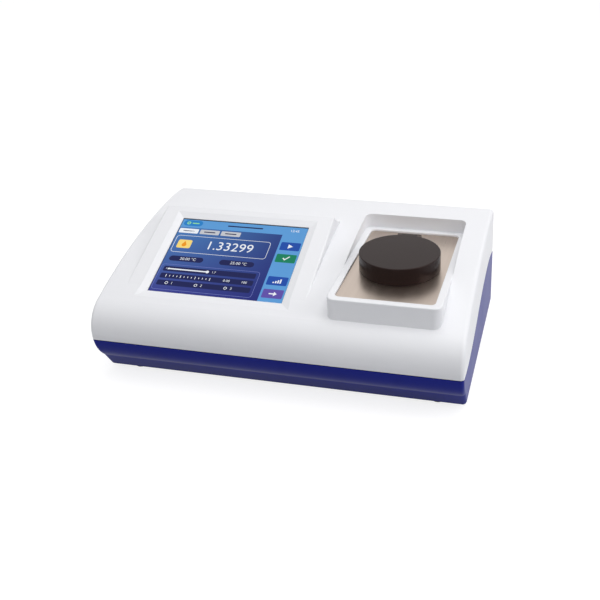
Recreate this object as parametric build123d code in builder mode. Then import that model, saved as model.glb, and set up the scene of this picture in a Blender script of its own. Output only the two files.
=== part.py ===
# Bench refractometer with a touch screen and a lidded sample well, as separate pieces.
# Millimetres. +X is the side of the sample stage, -Y faces the user, +Z is up.
# The origin lies on the bench, under the middle of the housing.
from build123d import *
import os
from math import cos, radians, sin, sqrt, tan

os.makedirs("parts", exist_ok=True)

# Housing
depth = 242.6
wall = 3.0
nose_overhang = 27.3  # the nose stands out this far past the base's front bottom edge
nose_height = 51.0  # height of the foremost line above the underside
nose_radius = 32.0
nose_turn = 69.0  # degrees that the nose turns before the long top curve
crease_back = 12.7  # the crease in the blue front, ahead of the bottom edge
crease_height = 18.6
crest_back = 36.3  # from the back to the highest line of the top
crest_height = 119.9
back_lean = 4.7  # the back of the top stands this far ahead of the back of the base
back_height = 118.3
side_rounding = 4.0
crease_rounding = 8.0
back_rounding = 8.0
bottom_rounding = 1.5

# Parting line between the two covers, as heights above the underside
parting_front = 45.3
parting_low = 44.3
parting_low_run = 27.3  # the lowest point behind the front bottom edge
parting_rise = 61.5
parting_high = 72.0
parting_high_run = 60.0  # the highest point ahead of the back
parting_back = 62.8
reveal = 0.8
lip_thickness = 1.5
lip_height = 5.0
lip_root = 5.0
lip_fit = 0.3

# Feet
foot_radius = 7.0
foot_height = 4.5
foot_seat = 2.2
foot_side_inset = 29.5
foot_front_inset = 12.0
foot_back_inset = 16.0

# Display console
console_left_inset = 23.0
console_side_gap = 2.1  # from the display's frame to the console's side walls
console_stage_gap = 24.3
console_tilt = 21.4
console_wall = 5.0
console_side_wall = 3.0
console_top_margin = 16.6  # from the window's top edge to the console's top edge
console_back_run = 26.0
console_back_drop = 13.6
console_bend_run = 0.4  # the hollow's middle, as shares of its run and drop
console_bend_drop = 0.64
console_rounding = 2.0
window_width = 143.0
window_height = 105.2
window_front = 10.5  # window's lower edge behind the front bottom edge
window_level = 87.0  # height of the window's lower edge above the underside
bezel_width = 8.0
bezel_depth = 2.2
bezel_overcut = 1.0
window_lip = 0.5

# Touch screen
touch_margin = 4.0
touch_thickness = 1.8
touch_fit = 0.3
gasket_thickness = 0.5
gasket_margin = 1.0
lcd_width = 159.0
lcd_height = 121.0
lcd_thickness = 8.0
lcd_gap = 0.3
frame_thickness = 1.2
frame_margin = 1.0
frame_cut_width = 140.0
frame_cut_height = 76.0
display_boss_radius = 4.0
display_boss_gap = 2.5
display_boss_y = 44.0

# Sample stage
stage_side_inset = 24.9
stage_width = 110.6
stage_length = 172.2
stage_front = 4.5  # the stage's front wall stands this far ahead of the front bottom edge
stage_level = 103.8
stage_rounding = 8.0
stage_foot_height = 66.0  # the stage's walls start this far above the underside
rim_width = 6.9
rim_rounding = 1.2
pocket_rounding = 5.0
plate_drop = 1.8
plate_thickness = 2.0
plate_fit = 0.3
plate_gasket_thickness = 0.5
ledge_width = 4.0
ledge_thickness = 2.5
ledge_rounding = 3.0

# Sample well and prism
well_front = 77.0  # centre of the well behind the front bottom edge
dish_radius = 26.0
dish_height = 8.5
dish_fit = 0.3
well_mouth_radius = 20.0
well_floor_radius = 8.5
well_depth = 5.5
prism_boss_radius = 6.8
prism_boss_height = 2.4
prism_fit = 0.2
prism_width = 22.0
prism_height = 11.0
prism_length = 19.0
face_slope = 60.0  # degrees of the prism's and the block's slanted faces
seal_radius = 7.9
seal_section = 0.8
seal_fit = 0.1

# Lid
lid_radius = 41.0
lid_height = 17.6
lid_wall = 3.0
lid_gap = 0.3
lid_edge = 0.8
lid_seal_height = 3.0
lid_seal_width = 2.5
liner_thickness = 2.5
liner_wall = 2.0
liner_fit = 0.3
hinge_back = 50.0  # hinge axis behind the well's centre
hinge_height = 8.3  # hinge axis above the plate
knuckle_radius = 6.0
hinge_width = 24.4
ear_thickness = 4.0
hinge_side_gap = 0.3
hinge_pin_radius = 1.5
hinge_running_fit = 0.06
bracket_foot_thickness = 2.0
bracket_foot_length = 19.0
bracket_screw_x = 7.0
bracket_screw_back = 9.0
bracket_screw_length = 8.0
nut_radius = 3.0
nut_height = 2.4
lug_bottom_rise = 0.5

# Screws and bosses
screw_radius = 1.5
screw_head_radius = 2.8
screw_head_height = 2.2
small_screw_radius = 1.2
small_head_radius = 2.3
small_head_height = 1.6
screw_fit = 0.15
socket_share = 0.5  # size and depth of the socket as shares of the head
boss_radius = 4.5
boss_height = 4.0
boss_screw_length = 6.0
cover_boss_radius = 6.5
cover_boss_height = 47.5
cover_boss_bore = 3.4
cover_boss_roof = 4.0
cover_post_radius = 5.0
cover_side_inset = 15.5
cover_front_inset = 44.0
cover_back_inset = 27.0
cover_middle_gap = 12.3
insert_radius = 2.4
insert_length = 8.0
cover_screw_length = 11.0

# Main board
board_width = 82.0
board_length = 133.0
board_thickness = 1.6
board_side_gap = 3.5
board_rear_gap = 3.3
board_hole_inset = 5.0
board_hole_row_inset = 16.0
board_screw_length = 10.0
standoff_height = 6.0
standoff_radius = 3.0
processor_ahead = 12.0
processor_size = 24.0
processor_thickness = 2.0
cooler_size = 28.0
cooler_base_thickness = 2.0
cooler_fin_height = 8.0
cooler_fin_thickness = 1.2
cooler_fin_pitch = 4.0
cooler_fin_count = 7
connector_length = 14.0
connector_width = 6.0
connector_height = 8.0
connector_inset = 8.0
connector_rows = (32.0, 57.0, 82.0)
ribbon_width = 20.0
ribbon_thickness = 0.4
ribbon_bend = 9.0
ribbon_x = 40.0  # start on the module's back, seen from its middle
ribbon_y = -20.0
ribbon_lead = 16.0
ribbon_rise = 24.0

# Optics block, its stand, barrels and sensor
block_width = 68.0
block_height = 32.0
block_length = 44.0
beam_radius = 2.5
barrel_radius = 9.0
barrel_bore = 6.5
led_barrel_length = 26.0
lens_barrel_length = 34.0
lens_fit = 0.1
lens_thickness = 3.0
lens_dome = 12.0
lens_inset = 6.0
led_board_thickness = 1.6
led_radius = 2.5
led_height = 4.0
sensor_board_size = 26.0
sensor_board_thickness = 1.6
sensor_width = 10.0
sensor_height = 4.0
sensor_thickness = 2.0
stand_length_x = 72.0
stand_length_y = 56.0
stand_foot_thickness = board_thickness + standoff_height
stand_wall = 4.0
stand_hole_x = 29.0
stand_hole_y = 22.0

# Temperature control
peltier_size = 30.0
peltier_thickness = 3.8
peltier_drop = 1.0
sink_width = 60.0
sink_height = 68.0
sink_base_thickness = 5.0
sink_fin_length = 34.0
sink_fin_thickness = 1.5
sink_fin_pitch = 5.0
sink_fin_count = 9
sink_screw_x = 25.0
sink_screw_drop = 6.0
sink_screw_length = 14.0
sink_bore_depth = 7.0
probe_radius = 1.5
probe_length = 14.0
probe_depth = 10.0
probe_drop = 8.0
probe_fit = 0.1

# Power supply
supply_width = 100.0
supply_length = 60.0
supply_rear_gap = 26.0
supply_side_inset = 29.5
transformer_x = 26.0
transformer_width = 30.0
transformer_length = 26.0
transformer_height = 24.0
winding_margin = 4.0
winding_drop = 3.0
capacitor_x = -30.0
capacitor_radius = 9.0
capacitor_height = 26.0
capacitor_pitch = 22.0
capacitor_count = 2
cooling_plate_ahead = 24.0
cooling_plate_width = 56.0
cooling_plate_thickness = 2.0
cooling_plate_height = 28.0

# Rear panel and what it carries
panel_side_inset = 25.5
panel_height = 50.0
panel_thickness = 2.0
panel_lift = 3.5
panel_border_x = 12.0
panel_border_z = 5.0
panel_screw_inset = 6.0
panel_screw_rise = 14.0
panel_screw_length = 7.0
countersink_radius = 2.8
cutout_fit = 0.3
inlet_end_gap = 40.0
inlet_flange_width = 31.0
inlet_flange_height = 39.0
inlet_flange_thickness = 2.0
inlet_body_width = 28.0
inlet_body_height = 36.0
inlet_body_depth = 24.0
socket_width = 24.4
socket_height = 16.4
socket_depth = 16.0
socket_rise = 8.5
pin_width = 2.0
pin_height = 4.0
pin_inset = 2.0
pin_tail = 3.0
pin_spread = 7.0
pin_offset = 2.0
drawer_width = 22.0
drawer_height = 10.0
drawer_depth = 22.0
drawer_drop = 11.5
drawer_fit = 0.3
drawer_face_border = 1.0
drawer_face_thickness = 0.8
drawer_face_gap = 0.1
fuse_radius = 2.6
fuse_length = 20.0
fuse_spread = 5.5
fuse_cap_length = 5.0
fuse_cap_step = 0.2
fuse_fit = 0.1
switch_pitch = 34.0
switch_flange_width = 15.0
switch_flange_height = 21.0
switch_flange_thickness = 1.5
switch_body_width = 12.6
switch_body_height = 18.8
switch_body_depth = 14.0
switch_wall = 0.8
rocker_radius = 8.3
rocker_face = 4.0
rocker_back = 3.0
rocker_tilt = 8.0
rocker_fit = 0.3
rocker_swing = 2.0
rocker_pivot_depth = 2.8
rocker_pin_radius = 1.2
rocker_pin_fit = 0.06
port_proud = 1.0
port_depth = 17.0
serial_offset = -22.0
serial_width = 31.0
serial_height = 12.5
serial_flange_thickness = 1.0
serial_body_depth = 8.0
serial_shell_width = 17.5
serial_shell_height = 9.0
serial_shell_wall = 0.8
serial_shell_length = 4.2
serial_nut_spread = 12.5
serial_nut_radius = 2.4
serial_nut_height = 2.4
serial_stud_radius = 1.5
network_offset = 4.0
network_width = 16.0
network_height = 13.5
network_socket_width = 11.8
network_socket_height = 8.0
network_socket_depth = 12.0
usb_offset = 26.0
usb_width = 14.5
usb_height = 15.6
usb_socket_width = 12.6
usb_socket_height = 5.2
usb_socket_depth = 14.0
usb_tongue_thickness = 1.8
usb_pitch = 7.2

# Fan
fan_size = 40.0
fan_thickness = 10.0
fan_bore = 18.5
fan_hole_spacing = 32.0
fan_hub_radius = 8.5
fan_motor_thickness = 1.5
fan_strut_width = 2.0
fan_blade_count = 7
fan_blade_tip = 17.4
fan_blade_chord = 7.0
fan_blade_thickness = 1.0
fan_blade_pitch = 38.0
fan_gap = 0.3
fan_shaft_radius = 1.0
fan_shaft_fit = 0.05
fan_rotor_length = 7.4
fan_screw_length = 11.0
grille_hole_radius = 1.6
grille_ring_step = 4.6
grille_ring_count = 3

# Vents in the floor
vent_length = 34.0
vent_width = 3.0
vent_pitch = 8.0
vent_count = 5
vent_left_y = -20.0
vent_right_y = 45.0

# The display's frame sets the console's width, and what stands side by side the whole width
touch_width = window_width + 2 * touch_margin
touch_height = window_height + 2 * touch_margin
display_boss_x = lcd_width / 2 + display_boss_gap + display_boss_radius
frame_width = 2 * (display_boss_x + display_boss_radius + frame_margin)
frame_height = 2 * (display_boss_y + display_boss_radius + frame_margin)
console_width = frame_width + 2 * (console_side_gap + console_side_wall)
width = console_left_inset + console_width + console_stage_gap + stage_width + stage_side_inset

# Derived lines and places
front_y = -depth / 2
back_y = depth / 2
edge_y = front_y + nose_overhang
floor_z = foot_height
inner_floor_z = floor_z + wall
half_width = width / 2
inner_back_y = back_y - wall
console_x = -half_width + console_left_inset + console_width / 2
stage_x = half_width - stage_side_inset - stage_width / 2
stage_y = edge_y - stage_front + stage_length / 2
stage_foot_z = floor_z + stage_foot_height
rim_z = floor_z + stage_level
plate_top_z = rim_z - plate_drop
plate_z = plate_top_z - plate_thickness
ledge_z = plate_z - plate_gasket_thickness
roof_z = ledge_z - ledge_thickness
well_y = edge_y + well_front
far = width  # long enough to cut right through anything

tilt_run = cos(radians(console_tilt))
tilt_rise = sin(radians(console_tilt))
window_middle_y = edge_y + window_front + window_height / 2 * tilt_run
window_middle_z = floor_z + window_level + window_height / 2 * tilt_rise
display_plane = Plane(
    origin=(console_x, window_middle_y, window_middle_z),
    x_dir=(1, 0, 0),
    z_dir=(0, -tilt_rise, tilt_run),
)
gasket_depth = bezel_depth + window_lip
touch_depth = gasket_depth + gasket_thickness
lcd_depth = max(touch_depth + touch_thickness, console_wall) + lcd_gap
frame_depth = lcd_depth + lcd_thickness

# Six screw places that hold the covers together, and four feet
cover_side_x = half_width - cover_side_inset
cover_middle_x = console_x + console_width / 2 + cover_middle_gap
cover_front_y = front_y + cover_front_inset
cover_back_y = back_y - cover_back_inset
cover_columns = (-cover_side_x, cover_middle_x, cover_side_x)
cover_places = [(x, y) for x in cover_columns for y in (cover_front_y, cover_back_y)]
joint_z = floor_z + cover_boss_height
screw_seat_z = joint_z - cover_boss_roof
foot_side_x = half_width - foot_side_inset
foot_rows = (edge_y + foot_front_inset, back_y - foot_back_inset)
foot_places = [(x, y) for x in (-foot_side_x, foot_side_x) for y in foot_rows]

# Boards stand on bosses of the floor
boss_top_z = inner_floor_z + boss_height
board_z = boss_top_z + standoff_height
board_top_z = board_z + board_thickness
board_x = cover_middle_x - cover_boss_radius - board_side_gap - board_width / 2
board_y = inner_back_y - panel_thickness - board_rear_gap - board_length / 2
supply_x = -half_width + supply_side_inset + supply_width / 2
supply_y = inner_back_y - panel_thickness - supply_rear_gap - supply_length / 2


# The four corners of a rectangle round a middle
def corner_places(x, y, half_x, half_y):
    return [(x + i * half_x, y + j * half_y) for i in (-1, 1) for j in (-1, 1)]


board_holes = corner_places(
    board_x, board_y, board_width / 2 - board_hole_inset, board_length / 2 - board_hole_row_inset
)
supply_holes = corner_places(
    supply_x, supply_y, supply_width / 2 - board_hole_inset, supply_length / 2 - board_hole_inset
)
stand_holes = corner_places(stage_x, well_y, stand_hole_x, stand_hole_y)

# Optics: the beam leaves the prism along two lines normal to its slanted faces
block_z = plate_top_z - dish_height
block_low_z = block_z - block_height
block_foot_width = block_width - 2 * block_height / tan(radians(face_slope))
beam_run = sin(radians(face_slope))
beam_drop = cos(radians(face_slope))
target_z = block_z + prism_boss_height
beam_length = beam_run * block_width / 2 + beam_drop * prism_boss_height
block_back_y = well_y + block_length / 2

# Rear panel
panel_width = width - 2 * panel_side_inset
inlet_x = inlet_end_gap - panel_width / 2
switch_x = inlet_x + switch_pitch
panel_y = inner_back_y - panel_thickness
panel_low_z = inner_floor_z + panel_lift
panel_middle_z = panel_low_z + panel_height / 2
network_x = board_x + network_offset
serial_x = board_x + serial_offset
usb_x = board_x + usb_offset
rocker_y = inner_back_y - rocker_pivot_depth
hinge_y = well_y + hinge_back
hinge_z = plate_top_z + hinge_height


# The corner of a flat outline that lies nearest to a point
def nearest(corners, point):
    return corners.sort_by_distance(Vector(point[0], point[1], 0))[0]


# Housing outline in the YZ plane, shrunk by an inset and drawn out along X
def housing_solid(inset):
    nose = (front_y, floor_z + nose_height)
    crease = (edge_y - crease_back, floor_z + crease_height)
    crest = (back_y - crest_back, floor_z + crest_height)
    top_back = (back_y - back_lean, floor_z + back_height)
    waist = (back_y, floor_z + parting_back)
    with BuildPart() as solid:
        with BuildSketch(Plane.YZ) as outline:
            with BuildLine():
                Line((edge_y, floor_z), crease)
                TangentArc(nose, crease, tangent=(0, -1))
                nose_arc = JernArc(nose, (0, 1), nose_radius, -nose_turn)
                top_arc = TangentArc(nose_arc @ 1, crest, tangent=nose_arc % 1)
                TangentArc(crest, top_back, tangent=top_arc % 1)
                Polyline(top_back, waist, (back_y, floor_z), (edge_y, floor_z))
            make_face()
            fillet(nearest(outline.vertices(), crease), crease_rounding)
            fillet(nearest(outline.vertices(), top_back), back_rounding)
            fillet(nearest(outline.vertices(), (edge_y, floor_z)), bottom_rounding)
            fillet(nearest(outline.vertices(), (back_y, floor_z)), bottom_rounding)
            if inset > 0:
                offset(amount=-inset, kind=Kind.INTERSECTION)
        extrude(amount=half_width - inset, both=True)
        if inset == 0:
            sides = solid.faces().filter_by(Axis.X).edges()
            fillet(sides.filter_by_position(Axis.Z, floor_z + bottom_rounding, far), side_rounding)
    return solid.part


# Everything above or below the parting line, which is lowered by a drop
def parting_region(drop, above):
    level = floor_z - drop
    limit = far if above else -far
    start = (front_y - wall, level + parting_front)
    end = (back_y + wall, level + parting_back)
    with BuildPart() as region:
        with BuildSketch(Plane.YZ):
            with BuildLine():
                Spline(
                    start,
                    (edge_y + parting_low_run, level + parting_low),
                    (0, level + parting_rise),
                    (back_y - parting_high_run, level + parting_high),
                    end,
                )
                Polyline(start, (start[0], limit), (end[0], limit), end)
            make_face()
        extrude(amount=far, both=True)
    return region.part


# A vertical block with rounded corners round the stage's middle
def stage_block(length_x, length_y, rounding, low, high):
    with BuildPart() as block:
        with BuildSketch(Plane((stage_x, stage_y, low))):
            RectangleRounded(length_x, length_y, rounding)
        extrude(amount=high - low)
    return block.part


# The display console: a tilted slab whose back falls away in a hollow curve
def console_solid(side_inset, top_inset):
    top_run = window_height / 2 + console_top_margin
    lower = (display_plane * Pos(0, -top_run, -top_inset)).position
    upper = (display_plane * Pos(0, top_run - top_inset, -top_inset)).position
    end_y = upper.Y + console_back_run - top_inset / 2
    end_z = upper.Z - console_back_drop
    bend_y = upper.Y + console_back_run * console_bend_run
    bend_z = upper.Z - console_back_drop * console_bend_drop
    foot_z = lower.Z - console_wall
    with BuildPart() as slab:
        with BuildSketch(Plane.YZ.offset(console_x)):
            with BuildLine():
                Line((lower.Y, lower.Z), (upper.Y, upper.Z))
                ThreePointArc((upper.Y, upper.Z), (bend_y, bend_z), (end_y, end_z))
                Polyline((end_y, end_z), (end_y, foot_z), (lower.Y, foot_z), (lower.Y, lower.Z))
            make_face()
        extrude(amount=console_width / 2 - side_inset, both=True)
        if top_inset == 0:
            ridge = slab.edges().filter_by(Axis.X).sort_by(Axis.Z)[-1]
            fillet(ridge, console_rounding)
            flanks = slab.faces().filter_by(Axis.X).edges()
            fillet(flanks.filter_by_position(Axis.Z, lower.Z + wall, far), console_rounding)
    return slab.part


# Places for upright things: planes that face up at the given height
def upright(points, height):
    return [Plane((x, y, height)) for x, y in points]


# A plane that faces the back, with its own x towards -X and its y up
def rear_plane(x, y, z):
    return Plane(origin=(x, y, z), x_dir=(-1, 0, 0), z_dir=(0, 1, 0))


# A plane across one of the two beams, a distance from the block's slanted face;
# side is -1 for the lamp and 1 for the sensor
def beam_plane(side, distance):
    run = beam_length + distance
    return Plane(
        origin=(stage_x + side * beam_run * run, well_y, target_z - beam_drop * run),
        x_dir=(0, side, 0),
        z_dir=(side * beam_run, 0, -beam_drop),
    )


# Screws with a socket in the head; each plane lies under a head and faces away from the shank
def screw_group(planes, head_radius, head_height, shank_radius, shank_length):
    with BuildPart() as group:
        for plane in planes:
            with BuildSketch(plane):
                Circle(head_radius)
            extrude(amount=head_height)
            with BuildSketch(plane):
                Circle(shank_radius)
            extrude(amount=-shank_length)
            with BuildSketch(plane.offset(head_height)):
                RegularPolygon(head_radius * socket_share, 6)
            extrude(amount=-head_height * socket_share, mode=Mode.SUBTRACT)
    return group


# Rods, or tubes where there is a bore, along the given planes' normals
def rod_group(planes, outer_radius, bore_radius, length):
    with BuildPart() as group:
        for plane in planes:
            with BuildSketch(plane):
                Circle(outer_radius)
                if bore_radius > 0:
                    Circle(bore_radius, mode=Mode.SUBTRACT)
            extrude(amount=length)
    return group


# Rectangular blocks that stand on the given planes
def block_group(planes, length_x, length_y, height):
    with BuildPart() as group:
        for plane in planes:
            with BuildSketch(plane):
                Rectangle(length_x, length_y)
            extrude(amount=height)
    return group


# A circuit board with a hole at each place
def board_solid(middle, length_x, length_y, holes):
    with BuildPart() as board:
        with BuildSketch(Plane((middle[0], middle[1], board_z))):
            Rectangle(length_x, length_y)
        extrude(amount=board_thickness)
        with BuildSketch(Plane.XY.offset(board_z)):
            with Locations(*holes):
                Circle(screw_radius + screw_fit)
        extrude(amount=board_thickness, mode=Mode.SUBTRACT)
    return board


pieces = {}

# Outer skin of the top: housing, console and stage in one
housing_outer = housing_solid(0)
housing_inner = housing_solid(wall)
with BuildPart() as stage_skin:
    add(stage_block(stage_width, stage_length, stage_rounding, stage_foot_z, rim_z))
    fillet(stage_skin.faces().sort_by(Axis.Z)[-1].edges(), rim_rounding)
with BuildPart() as top_skin:
    add(housing_outer)
    add(console_solid(0, 0))
    add(stage_skin.part)

# Hollow under the top: it keeps the stage's floor and the walls of its recess
recess_x = stage_width + 2 * wall
recess_y = stage_length + 2 * wall
recess_rounding = stage_rounding + wall
with BuildPart() as top_hollow:
    add(housing_inner)
    add(console_solid(console_side_wall, console_wall))
    add(stage_block(recess_x, recess_y, recess_rounding, roof_z, far), mode=Mode.SUBTRACT)
    add(
        stage_block(
            stage_width - 2 * wall,
            stage_length - 2 * wall,
            stage_rounding - wall,
            stage_foot_z,
            roof_z,
        )
    )

# White top cover with the posts that take the inserts
pocket_x = stage_width - 2 * rim_width
pocket_y = stage_length - 2 * rim_width
with BuildPart() as top_cover:
    add(top_skin.part)
    add(top_hollow.part, mode=Mode.SUBTRACT)
    for x, y in cover_places:
        with BuildSketch(Plane((x, y, joint_z))):
            Circle(cover_post_radius)
        extrude(amount=far)
    for x, y in corner_places(0, 0, display_boss_x, display_boss_y):
        with BuildSketch(display_plane.offset(-frame_depth)):
            with Locations((x, y)):
                Circle(display_boss_radius)
        extrude(amount=frame_depth - console_wall / 2)
    add(top_skin.part, mode=Mode.INTERSECT)
    add(parting_region(0, above=True), mode=Mode.INTERSECT)
    # sample stage: recess, pocket for the plate and the opening inside its ledge
    add(stage_block(stage_width, stage_length, stage_rounding, rim_z, far), mode=Mode.SUBTRACT)
    add(stage_block(pocket_x, pocket_y, pocket_rounding, ledge_z, far), mode=Mode.SUBTRACT)
    add(
        stage_block(
            pocket_x - 2 * ledge_width,
            pocket_y - 2 * ledge_width,
            ledge_rounding,
            roof_z - wall,
            ledge_z,
        ),
        mode=Mode.SUBTRACT,
    )
    # display: slanted bezel, window and the pocket for the touch panel
    spread = 2 * bezel_width * (1 + bezel_overcut / bezel_depth)
    with BuildSketch(display_plane.offset(-bezel_depth)):
        Rectangle(window_width, window_height)
    with BuildSketch(display_plane.offset(bezel_overcut)):
        Rectangle(window_width + spread, window_height + spread)
    loft(mode=Mode.SUBTRACT)
    with BuildSketch(display_plane.offset(-console_wall)):
        Rectangle(window_width, window_height)
    extrude(amount=console_wall, mode=Mode.SUBTRACT)
    with BuildSketch(display_plane.offset(-lcd_depth)):
        Rectangle(touch_width + 2 * touch_fit, touch_height + 2 * touch_fit)
    extrude(amount=lcd_depth - gasket_depth, mode=Mode.SUBTRACT)
    # bores for the inserts and the display screws
    with BuildSketch(Plane.XY.offset(joint_z)):
        with Locations(*cover_places):
            Circle(insert_radius)
    extrude(amount=insert_length + cover_boss_roof, mode=Mode.SUBTRACT)
    with BuildSketch(display_plane.offset(-frame_depth)):
        with Locations(*corner_places(0, 0, display_boss_x, display_boss_y)):
            Circle(small_screw_radius + screw_fit)
    extrude(amount=boss_screw_length, mode=Mode.SUBTRACT)
pieces["top_cover"] = top_cover

# Brass inserts in the posts
cover_inserts = rod_group(
    upright(cover_places, joint_z), insert_radius, screw_radius + screw_fit, insert_length
)
pieces["cover_inserts"] = cover_inserts

# Blue base cover with a lip that stands up inside the top cover
opening_x = panel_width - 2 * panel_border_x
opening_z = panel_height - 2 * panel_border_z
floor_bosses = board_holes + supply_holes + stand_holes
panel_screw_x = panel_width / 2 - panel_screw_inset
panel_screw_places = [
    (x, panel_middle_z + z)
    for x in (-panel_screw_x, panel_screw_x)
    for z in (-panel_screw_rise, panel_screw_rise)
]
with BuildPart() as lip_ring:
    add(housing_solid(wall + lip_fit))
    add(housing_solid(wall + lip_fit + lip_thickness), mode=Mode.SUBTRACT)
    add(parting_region(-lip_height, above=False), mode=Mode.INTERSECT)
    add(parting_region(reveal, above=True), mode=Mode.INTERSECT)
with BuildPart() as lip_shelf:
    add(housing_outer)
    add(housing_solid(wall + lip_fit + lip_thickness), mode=Mode.SUBTRACT)
    add(parting_region(reveal, above=False), mode=Mode.INTERSECT)
    add(parting_region(lip_root, above=True), mode=Mode.INTERSECT)
with BuildPart() as base_cover:
    add(housing_outer)
    add(housing_inner, mode=Mode.SUBTRACT)
    add(parting_region(reveal, above=False), mode=Mode.INTERSECT)
    add(lip_shelf.part)
    add(lip_ring.part)
    with BuildSketch(Plane.XY.offset(floor_z)):
        with Locations(*cover_places):
            Circle(cover_boss_radius)
    extrude(amount=cover_boss_height)
    with BuildSketch(Plane.XY.offset(floor_z)):
        with Locations(*floor_bosses, *foot_places):
            Circle(boss_radius)
    extrude(amount=wall + boss_height)
    # holes for the screws
    with BuildSketch(Plane.XY.offset(floor_z)):
        with Locations(*cover_places):
            Circle(cover_boss_bore)
    extrude(amount=screw_seat_z - floor_z, mode=Mode.SUBTRACT)
    with BuildSketch(Plane.XY.offset(floor_z)):
        with Locations(*cover_places, *foot_places):
            Circle(screw_radius + screw_fit)
    extrude(amount=cover_boss_height, mode=Mode.SUBTRACT)
    with BuildSketch(Plane.XY.offset(boss_top_z)):
        with Locations(*floor_bosses):
            Circle(screw_radius + screw_fit)
    extrude(amount=-boss_height, mode=Mode.SUBTRACT)
    # rear opening and its countersunk screw holes
    with BuildSketch(rear_plane(0, back_y, panel_middle_z)):
        Rectangle(opening_x, opening_z)
    extrude(amount=-wall, mode=Mode.SUBTRACT)
    for x, z in panel_screw_places:
        with BuildSketch(rear_plane(x, back_y, z)):
            Circle(countersink_radius + screw_fit)
        extrude(amount=-(countersink_radius - small_screw_radius), taper=45, mode=Mode.SUBTRACT)
        with BuildSketch(rear_plane(x, back_y, z)):
            Circle(small_screw_radius + screw_fit)
        extrude(amount=-wall, mode=Mode.SUBTRACT)
    # vents in the floor
    with BuildSketch(Plane.XY.offset(floor_z)):
        with Locations((supply_x, vent_left_y), (stage_x, vent_right_y)):
            with GridLocations(vent_pitch, vent_length, vent_count, 1):
                Rectangle(vent_width, vent_length)
    extrude(amount=wall, mode=Mode.SUBTRACT)
pieces["base_cover"] = base_cover

# Cover screws, driven up from under the base through its deep bosses
seat_planes = [
    Plane(origin=(x, y, screw_seat_z), x_dir=(1, 0, 0), z_dir=(0, 0, -1)) for x, y in cover_places
]
cover_screws = screw_group(
    seat_planes, screw_head_radius, screw_head_height, screw_radius, cover_screw_length
)
pieces["cover_screws"] = cover_screws

# Rubber feet and their screws
with BuildPart() as feet:
    with BuildSketch():
        with Locations(*foot_places):
            Circle(foot_radius)
    extrude(amount=foot_height)
    chamfer(feet.faces().sort_by(Axis.Z)[0].edges() + feet.edges().group_by(Axis.Z)[0], 0.6)
    with BuildSketch():
        with Locations(*foot_places):
            Circle(screw_head_radius + screw_fit)
    extrude(amount=foot_seat, mode=Mode.SUBTRACT)
    with BuildSketch():
        with Locations(*foot_places):
            Circle(screw_radius + screw_fit)
    extrude(amount=foot_height, mode=Mode.SUBTRACT)
pieces["feet"] = feet
foot_planes = [
    Plane(origin=(x, y, foot_seat), x_dir=(1, 0, 0), z_dir=(0, 0, -1)) for x, y in foot_places
]
foot_screws = screw_group(
    foot_planes, screw_head_radius, small_head_height, screw_radius, foot_height + boss_height
)
pieces["foot_screws"] = foot_screws

# Display: gasket, touch panel, module and the frame that clamps them
display_places = corner_places(0, 0, display_boss_x, display_boss_y)
with BuildPart() as display_gasket:
    with BuildSketch(display_plane.offset(-touch_depth)):
        Rectangle(touch_width, touch_height)
        Rectangle(
            window_width + 2 * gasket_margin, window_height + 2 * gasket_margin, mode=Mode.SUBTRACT
        )
    extrude(amount=gasket_thickness)
pieces["display_gasket"] = display_gasket
pieces["touch_panel"] = block_group(
    [display_plane.offset(-touch_depth - touch_thickness)],
    touch_width,
    touch_height,
    touch_thickness,
)
pieces["lcd_module"] = block_group(
    [display_plane.offset(-frame_depth)], lcd_width, lcd_height, lcd_thickness
)
with BuildPart() as display_frame:
    with BuildSketch(display_plane.offset(-frame_depth)):
        Rectangle(frame_width, frame_height)
        Rectangle(frame_cut_width, frame_cut_height, mode=Mode.SUBTRACT)
        with Locations(*display_places):
            Circle(small_screw_radius + screw_fit, mode=Mode.SUBTRACT)
    extrude(amount=-frame_thickness)
pieces["display_frame"] = display_frame
display_seats = [
    Plane(
        origin=(display_plane * Pos(x, y, -frame_depth - frame_thickness)).position,
        x_dir=(1, 0, 0),
        z_dir=(0, tilt_rise, -tilt_run),
    )
    for x, y in display_places
]
pieces["display_screws"] = screw_group(
    display_seats, small_head_radius, small_head_height, small_screw_radius, boss_screw_length
)

# Flat ribbon from the module's back to its connector on the main board
ribbon_start = (display_plane * Pos(ribbon_x, ribbon_y, -frame_depth)).position
ribbon_turn = (display_plane * Pos(ribbon_x, ribbon_y, -frame_depth - ribbon_lead)).position
ribbon_end_y = board_y - board_length / 2 + connector_inset
ribbon_end_z = board_top_z + connector_height
with BuildPart() as display_ribbon:
    with BuildSketch(Plane.YZ.offset(ribbon_start.X)):
        with BuildLine():
            FilletPolyline(
                (ribbon_start.Y, ribbon_start.Z),
                (ribbon_turn.Y, ribbon_turn.Z),
                (ribbon_end_y, ribbon_end_z + ribbon_rise),
                (ribbon_end_y, ribbon_end_z),
                radius=ribbon_bend,
            )
        trace(line_width=ribbon_thickness)
    extrude(amount=ribbon_width / 2, both=True)
pieces["display_ribbon"] = display_ribbon

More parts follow.
